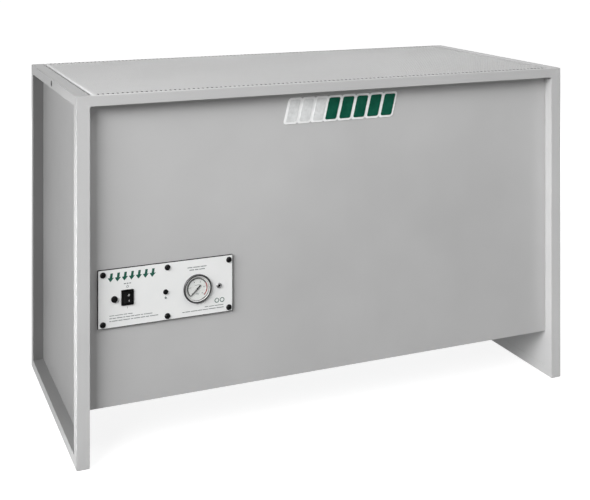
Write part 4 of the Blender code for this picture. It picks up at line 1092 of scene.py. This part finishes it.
# ============================================================================================
# filters
# ============================================================================================
def pleats(label):
    """Folded filter paper: a zigzag sheet with rounded tips, held by glue threads."""
    (x0, y0, z0), (x1, y1, z1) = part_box(label + "_filter_media")
    n, t = 44, 0.0007
    pitch = (x1 - x0) / n
    tip = 0.0016
    line = []
    for i in range(n):
        a = x0 + i * pitch
        for u, v in ((0.04, 0.0), (0.14, -0.25 * tip), (0.30, -3 * tip), (0.48, None), (0.54, None), (0.70, 3 * tip), (0.86, 0.25 * tip)):
            pass
        line += [(a + pitch * 0.06, z0 + 0.0010), (a + pitch * 0.16, z0 + 0.0022), (a + pitch * 0.40, z1 - 0.0022), (a + pitch * 0.50, z1 - 0.0008), (a + pitch * 0.60, z1 - 0.0022), (a + pitch * 0.84, z0 + 0.0022), (a + pitch * 0.94, z0 + 0.0010)]
    p = [Vector((q[0], 0, q[1])) for q in line]
    off = []
    for i, q in enumerate(p):
        d = (p[min(i + 1, len(p) - 1)] - p[max(i - 1, 0)]).normalized()
        off.append(Vector((-d.z, 0, d.x)) * t / 2)
    ys = [y0 + (y1 - y0) * k / 24 for k in range(25)]
    verts, faces = [], []
    m = len(p)
    for k, y in enumerate(ys):
        for s in (1, -1):
            for i, (q, o) in enumerate(zip(p, off)):
                sway = 0.00035 * math.sin(37.0 * y + 1.7 * (i // 7)) * (1 if s else 0)
                verts.append((q.x + o.x * s + sway, y, q.z + o.z * s))
    row = 2 * m
    for k in range(len(ys) - 1):
        a, b = k * row, (k + 1) * row
        for i in range(m - 1):
            faces.append((a + i, a + i + 1, b + i + 1, b + i))
            faces.append((b + m + i, b + m + i + 1, a + m + i + 1, a + m + i))
        faces.append((a + m, a, b, b + m))
        faces.append((a + m - 1, a + 2 * m - 1, b + 2 * m - 1, b + m - 1))
    for k, flip in ((0, 1), (len(ys) - 1, -1)):
        a = k * row
        for i in range(m - 1):
            q = (a + i, a + m + i, a + m + i + 1, a + i + 1)
            faces.append(q[::flip])
    piece(label + "_pleats", verts, faces, PAPER, label + "_filter", (label + "_filter_media",))
    for j in range(5):
        y = y0 + (y1 - y0) * (j + 0.5) / 5
        tube("%s_glue_thread_%d" % (label, j + 1), [(x0 + 0.002 + (x1 - x0 - 0.004) * i / 22, y + 0.0008 * math.sin(i * 2.1 + j), z1 - 0.0002 + 0.0006 * math.cos(i * 1.9)) for i in range(23)], 0.0011, GLUE, label + "_filter", sides=8)


pleats("left")
pleats("right")


def mat_pad():
    """The pre-filter mat: a thick needled pad, crowned, with soft edges, slight hollows where it spans the cells."""
    (x0, y0, z0), (x1, y1, z1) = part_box("prefilter_mat")
    nx, ny = 200, 100
    verts, faces = [], []
    r = 0.011

    def drop(x, y):
        """How far the top lies below full height at this point."""
        d = min(x - x0, x1 - x, y - y0, y1 - y)
        edge = 0.0 if d > r else (1 - math.sqrt(max(0.0, 1 - (1 - d / r) ** 2))) * 0.5 * (z1 - z0)
        cell = min(abs(abs(x) - 0.30) / 0.27, 1.0)
        sag = 0.0016 * (1 - cell ** 2) * (1 - min(1.0, (y / 0.28) ** 2))
        lump = 0.0013 * noise.noise(Vector((x * 9, y * 9, 1.7))) + 0.0006 * noise.noise(Vector((x * 40, y * 40, 4.2)))
        return edge + max(0.0, sag + 0.0016 + lump)

    def shrink(u, lo, hi):
        return lo + 0.0012 + (hi - lo - 0.0024) * u

    tops, bots = [], []
    for j in range(ny + 1):
        rt, rb = [], []
        for i in range(nx + 1):
            # closer spacing near the edges, so that they round well
            u = 0.5 - 0.5 * math.cos(math.pi * i / nx) if False else i / nx
            v = j / ny
            u = u if 0.03 < u < 0.97 else (0.03 * (u / 0.03) ** 1.6 if u <= 0.03 else 1 - 0.03 * ((1 - u) / 0.03) ** 1.6)
            v = v if 0.05 < v < 0.95 else (0.05 * (v / 0.05) ** 1.6 if v <= 0.05 else 1 - 0.05 * ((1 - v) / 0.05) ** 1.6)
            x, y = shrink(u, x0, x1), shrink(v, y0, y1)
            w = 0.0007 * noise.noise(Vector((x * 14, y * 14, 9.0)))
            d = drop(x, y)
            side = i in (0, nx) or j in (0, ny)
            rt.append(len(verts))
            verts.append((x + w, y + w, z1 - (d if not side else (z1 - z0) * 0.42)))
            rb.append(len(verts))
            e = min(x - x0, x1 - x, y - y0, y1 - y)
            lift = 0.0 if e > r else (1 - math.sqrt(max(0.0, 1 - (1 - e / r) ** 2))) * 0.35 * (z1 - z0)
            verts.append((x + w, y + w, z0 + 0.0002 + (lift if not side else (z1 - z0) * 0.40)))
        tops.append(rt)
        bots.append(rb)
    for j in range(ny):
        for i in range(nx):
            faces.append((tops[j][i], tops[j][i + 1], tops[j + 1][i + 1], tops[j + 1][i]))
            faces.append((bots[j + 1][i], bots[j + 1][i + 1], bots[j][i + 1], bots[j][i]))
    def rim(rows):
        return rows[0][:] + [r_[-1] for r_ in rows[1:]] + rows[-1][-2::-1] + [r_[0] for r_ in rows[-2:0:-1]]
    a, b = rim(tops), rim(bots)
    for k in range(len(a)):
        j = (k + 1) % len(a)
        faces.append((a[k], b[k], b[j], a[j]))
    return piece("prefilter_pad", verts, faces, FLEECE, "prefilter", ("prefilter_mat",))


mat_pad()

# ============================================================================================
# fan, motor, cables
# ============================================================================================
(nx0, ny0, nz0), (nx1, ny1, nz1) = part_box("fan_inlet_ring")
mouth = [math.pi / 2 * i / 10 for i in range(11)]
FR, FH, FT = 0.020, nz1 - 0.426, 0.002


def flare(a, out):
    n = Vector((FH * math.cos(a), -FR * math.sin(a))).normalized() * (FT if out else 0.0)
    return (0.085 + FR * (1 - math.cos(a)) + n.x, 0.426 + FH * math.sin(a) + n.y)


rings = [(0.085, 0.414)] + [flare(a, False) for a in mouth] + [(0.1345, nz1), (0.135, nz1 - 0.0005), (0.135, nz1 - 0.002)] + [flare(a, True) for a in reversed(mouth)] + [(0.087, 0.414)]
revolve("inlet_bellmouth", rings, ZINC, "cabinet", Matrix.Identity(4), 96, ("fan_inlet_ring",))
# wire guard over the bell-mouth
for i, r in enumerate((0.022, 0.040, 0.058, 0.076, 0.094, 0.112)):
    pts = []
    verts, faces = [], []
    N, S, w = 96, 8, 0.0010
    for a in range(N):
        t = math.tau * a / N
        for b in range(S):
            q = math.tau * b / S
            rr = r + w * math.cos(q)
            verts.append((rr * math.cos(t), rr * math.sin(t), nz1 + 0.0032 + w * math.sin(q)))
    for a in range(N):
        for b in range(S):
            faces.append((a * S + b, ((a + 1) % N) * S + b, ((a + 1) % N) * S + (b + 1) % S, a * S + (b + 1) % S))
    piece("guard_ring_%d" % (i + 1), verts, faces, CHROME, "cabinet")
for i in range(4):
    a = math.pi / 4 + math.pi / 2 * i
    d = Vector((math.cos(a), math.sin(a), 0))
    tube("guard_spoke_%d" % (i + 1), [d * 0.018 + Vector((0, 0, nz1 + 0.0052)), d * 0.07 + Vector((0, 0, nz1 + 0.0052)), d * 0.118 + Vector((0, 0, nz1 + 0.0052)), d * 0.127 + Vector((0, 0, nz1 + 0.0016))], 0.0011, CHROME, "cabinet", sides=8)

# motor: finned housing with a recess for the shaft in its top
(mx0, my0, mz0), (mx1, my1, mz1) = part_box("fan_motor")
fins_m = [(0.0066, 0.2885), (0.0066, 0.3178), (0.0120, 0.3180), (0.0300, 0.3180), (0.0335, 0.3150), (0.0560, 0.3125), (0.0600, 0.3105)]
h = 0.3085
while h > 0.2630:
    fins_m += [(0.0640, h), (0.0640, h - 0.0016), (0.0595, h - 0.0024), (0.0595, h - 0.0044)]
    h -= 0.0056
fins_m += [(0.0630, 0.2600), (0.0600, 0.2520), (0.0570, 0.2500), (0.0, 0.2500)]
revolve("motor_housing", [(0, 0.2885)] + fins_m, MOTOR, "cabinet", Matrix.Identity(4), 72, ("fan_motor",))
for n in ("front_left", "front_right", "rear_left", "rear_right"):
    a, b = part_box(n + "_motor_mount")
    c = (a + b) / 2
    revolve(n + "_rubber_mount", [(0, b.z), (0.0134, b.z), (0.0140, b.z - 0.0006), (0.0140, b.z - 0.0026), (0.0122, b.z - 0.0040), (0.0106, b.z - 0.0062), (0.0102, c.z), (0.0106, a.z + 0.0062), (0.0122, a.z + 0.0040), (0.0140, a.z + 0.0026), (0.0140, a.z + 0.0006), (0.0134, a.z), (0, a.z)],
            RUBBER, "cabinet", Matrix.Translation((c.x, c.y, 0)), 40, (n + "_motor_mount",))

tube("gauge_hose", [(gx, SEAT + 0.0395, gz), (gx, -0.252, gz + 0.0005), (gx, -0.2425, gz + 0.010), (gx, -0.240, gz + 0.030), (gx, -0.240, 0.42), (gx, -0.240, 0.47), (gx, -0.240, 0.520)], 0.0028, TUBE, "cabinet", ("pressure_tube",))
tube("mains_lead", [(-0.450, 0.2745, 0.205), (-0.450, 0.225, 0.204), (-0.450, 0.196, 0.175), (-0.450, 0.172, 0.140), (-0.450, 0.08, 0.1352), (-0.450, -0.06, 0.1352), (-0.450, -0.146, 0.138), (-0.450, -0.163, 0.200), (-0.450, -0.168, 0.300), (-0.450, -0.190, 0.328), (-0.450, -0.225, 0.330)], 0.0040, CABLE, "cabinet", ("supply_cable",))
tube("motor_lead", [(-0.330, -0.225, 0.330), (-0.330, -0.190, 0.329), (-0.326, -0.158, 0.300), (-0.270, -0.135, 0.288), (-0.170, -0.103, 0.2855), (-0.120, -0.040, 0.282), (-0.100, -0.006, 0.280), (-0.0645, 0.0, 0.280)], 0.0035, CABLE, "cabinet", ("motor_cable",))

# ============================================================================================
# stage, light and camera
# ============================================================================================
def floor():
    me = bpy.data.meshes.new("studio_floor")
    s = 90.0
    me.from_pydata([(-s, -s, 0), (s, -s, 0), (s, s, 0), (-s, s, 0)], [], [(0, 1, 2, 3)])
    ob = bpy.data.objects.new("studio_floor", me)
    m = bpy.data.materials.new("studio_floor")
    m.use_nodes = True
    nt = m.node_tree
    p = nt.nodes["Principled BSDF"]
    p.inputs["Base Color"].default_value = (0.30, 0.30, 0.30, 1)
    p.inputs["Roughness"].default_value = 0.9
    p.inputs["Specular IOR Level"].default_value = 0.1
    p.inputs["Emission Color"].default_value = (1, 1, 1, 1)
    p.inputs["Emission Strength"].default_value = 0.86
    tc = nt.nodes.new("ShaderNodeTexCoord")
    ln = nt.nodes.new("ShaderNodeVectorMath")
    ln.operation = "LENGTH"
    mr = nt.nodes.new("ShaderNodeMapRange")
    for key_, v in (("From Min", 1.2), ("From Max", 4.0), ("To Min", 0.86), ("To Max", 1.0)):
        mr.inputs[key_].default_value = v
    nt.links.new(tc.outputs["Object"], ln.inputs[0])
    nt.links.new(ln.outputs["Value"], mr.inputs["Value"])
    nt.links.new(mr.outputs["Result"], p.inputs["Emission Strength"])
    me.materials.append(m)
    col.objects.link(ob)
    ob.location.z = -0.0005
    ob.visible_diffuse = False
    ob.visible_glossy = False
    return ob


floor()


def softbox(name, where, target, size, power, colour=(1, 1, 1)):
    li = bpy.data.lights.new(name, "AREA")
    li.shape = "RECTANGLE"
    li.size, li.size_y = size
    li.energy = power
    li.color = colour
    ob = bpy.data.objects.new(name, li)
    ob.location = where
    ob.rotation_euler = (Vector(target) - Vector(where)).to_track_quat("-Z", "Y").to_euler()
    col.objects.link(ob)
    return ob


def only(light, names, keep):
    """The light falls on these objects alone (keep), or on everything but them."""
    c = bpy.data.collections.new(light.name + "_link")
    light.light_linking.receiver_collection = c
    for n in names:
        c.objects.link(bpy.data.objects[n] if n in bpy.data.objects else NODES[n])
    if not keep:
        for k in range(len(names)):
            c.collection_objects[k].light_linking.link_state = "EXCLUDE"


END_FRAME, END_PANEL = NODES["left_end_frame"].name, NODES["left_end_panel"].name
softbox("light_top", (0.45, -0.20, 2.90), (0.35, -0.05, 0.8), (2.2, 1.5), 8)
front_left = softbox("light_front_left", (-4.7, -3.1, 3.30), (0.0, -0.3, 0.45), (4.4, 2.4), 475)
only(front_left, [END_FRAME, END_PANEL, "worktop_rim"], False)
left_low = softbox("light_left_low", (-5.2, -1.25, 0.60), (0.0, -0.3, 0.45), (1.0, 1.6), 34)
only(left_low, [END_FRAME, END_PANEL], False)
left_frame = softbox("light_left_frame", (-3.4, 0.25, 0.15), (0.0, 0.0, 0.45), (0.7, 0.7), 78)
only(left_frame, [END_FRAME], True)
left_panel = softbox("light_left_panel", (-2.1, -0.95, 0.60), (-0.6, 0.0, 0.45), (0.9, 1.3), 25)
only(left_panel, [END_PANEL], True)
frame_front = softbox("light_frame_front", (0.8, -3.6, 0.75), (-0.6, -0.3, 0.30), (1.6, 1.3), 92)
only(frame_front, [END_FRAME], True)
frame_front.visible_glossy = False
leg_edge = softbox("light_leg_edge", (-1.15, -0.42, 0.39), (-0.65, -0.33, 0.39), (0.10, 0.78), 0.92)
only(leg_edge, [END_FRAME], True)
leg_edge.data.spread = math.radians(76)
leg_edge.visible_camera = False
frame_top = softbox("light_frame_top", (-0.64, -0.1, 3.2), (-0.64, -0.1, 0.8), (0.5, 1.0), 15)
only(frame_top, [END_FRAME], True)
frame_top.visible_glossy = False
slot = softbox("light_slot", (-2.6, -0.7, 1.80), (-0.6, 0.0, 0.84), (0.4, 0.3), 90)
only(slot, ["worktop_rim"], True)
right_inner = softbox("light_right_inner", (-2.4, -1.5, 0.06), (0.6, -0.25, 0.10), (1.2, 0.3), 6)
only(right_inner, ["right_end_frame", "right_end_panel"], True)
right_front = softbox("light_right_front", (0.66, -1.15, 0.06), (0.64, -0.33, 0.06), (0.5, 0.1), 0.35)
only(right_front, ["right_end_frame"], True)
right_front.visible_camera = False
right_low = softbox("light_right_low", (0.10, -0.80, 0.05), (0.62, -0.32, 0.08), (0.4, 0.08), 1.15)
only(right_low, ["right_end_frame", "right_end_panel"], True)
right_low.visible_camera = False
softbox("light_front_high", (0.9, -2.3, 3.4), (0.3, -0.3, 0.40), (2.6, 1.6), 34)
panel_fill = softbox("light_panel_fill", (-0.45, -2.6, 0.45), (-0.35, -0.3, 0.42), (1.2, 1.0), 0.9)
only(panel_fill, ["front_panel"], True)
softbox("light_front_low", (1.6, -4.0, 0.6), (0.5, -0.3, 0.20), (3.0, 1.0), 14)
# the sides that face away are lit too, without a mirror image in the top
for name, where, size, power in (("light_rear", (0.9, 4.2, 2.0), (3.0, 2.2), 110), ("light_right", (4.2, 0.75, 1.4), (1.6, 1.8), 60)):
    softbox(name, where, (0.0, 0.1, 0.45), size, power).visible_glossy = False

world = bpy.data.worlds.new("studio")
scene.world = world
world.use_nodes = True
wt = world.node_tree
bg = wt.nodes["Background"]
path = wt.nodes.new("ShaderNodeLightPath")


def blend_world(fac, a, b):
    n = wt.nodes.new("ShaderNodeMix")
    n.data_type = "RGBA"
    wt.links.new(fac, n.inputs["Factor"])
    for key_, v in (("A", a), ("B", b)):
        if isinstance(v, bpy.types.NodeSocket):
            wt.links.new(v, n.inputs[key_])
        else:
            n.inputs[key_].default_value = (v, v, v, 1)
    return n.outputs["Result"]


# what shiny surfaces mirror: a white backdrop behind the bench, a dimmer room in front of it
geo = wt.nodes.new("ShaderNodeTexCoord")
sep = wt.nodes.new("ShaderNodeSeparateXYZ")
wt.links.new(geo.outputs["Generated"], sep.inputs[0])
back = wt.nodes.new("ShaderNodeMapRange")
back.inputs["From Min"].default_value, back.inputs["From Max"].default_value = -0.3, 0.5
wt.links.new(sep.outputs["Y"], back.inputs["Value"])
glossy = blend_world(back.outputs["Result"], 0.18, 0.52)
lit = blend_world(path.outputs["Is Glossy Ray"], 0.10, glossy)
wt.links.new(blend_world(path.outputs["Is Camera Ray"], lit, 1.0), bg.inputs["Color"])

cam_data = bpy.data.cameras.new("camera")
cam = bpy.data.objects.new("camera", cam_data)
col.objects.link(cam)
CAM_X, CAM_Y, CAM_Z, CAM_YAW = -1.114744, -2.848598, 1.204035, -0.423232
cam.location = (CAM_X, CAM_Y, CAM_Z)
cam.rotation_euler = (math.radians(90), 0, CAM_YAW)
cam_data.sensor_fit = "HORIZONTAL"
cam_data.sensor_width = 36.0
cam_data.lens = 67.734
cam_data.clip_start, cam_data.clip_end = 0.05, 60


def shift(axis, value):
    """The lens is shifted, as a view camera's is, only at the main standpoint; a camera moved elsewhere looks straight."""
    d = cam_data.driver_add(axis).driver
    d.type = "SCRIPTED"
    for name, channel in (("x", "LOC_X"), ("y", "LOC_Y")):
        v = d.variables.new()
        v.name = name
        v.type = "TRANSFORMS"
        v.targets[0].id = cam
        v.targets[0].transform_type = channel
        v.targets[0].transform_space = "WORLD_SPACE"
    d.expression = "%f if abs(x - %f) + abs(y - %f) < 0.002 else 0.0" % (value, CAM_X, CAM_Y)


shift("shift_x", -0.0907472)
shift("shift_y", -0.5362268)
scene.camera = cam

scene.view_settings.view_transform = "Standard"
scene.view_settings.look = "None"
scene.cycles.use_denoising = True
scene.cycles.max_bounces = 8
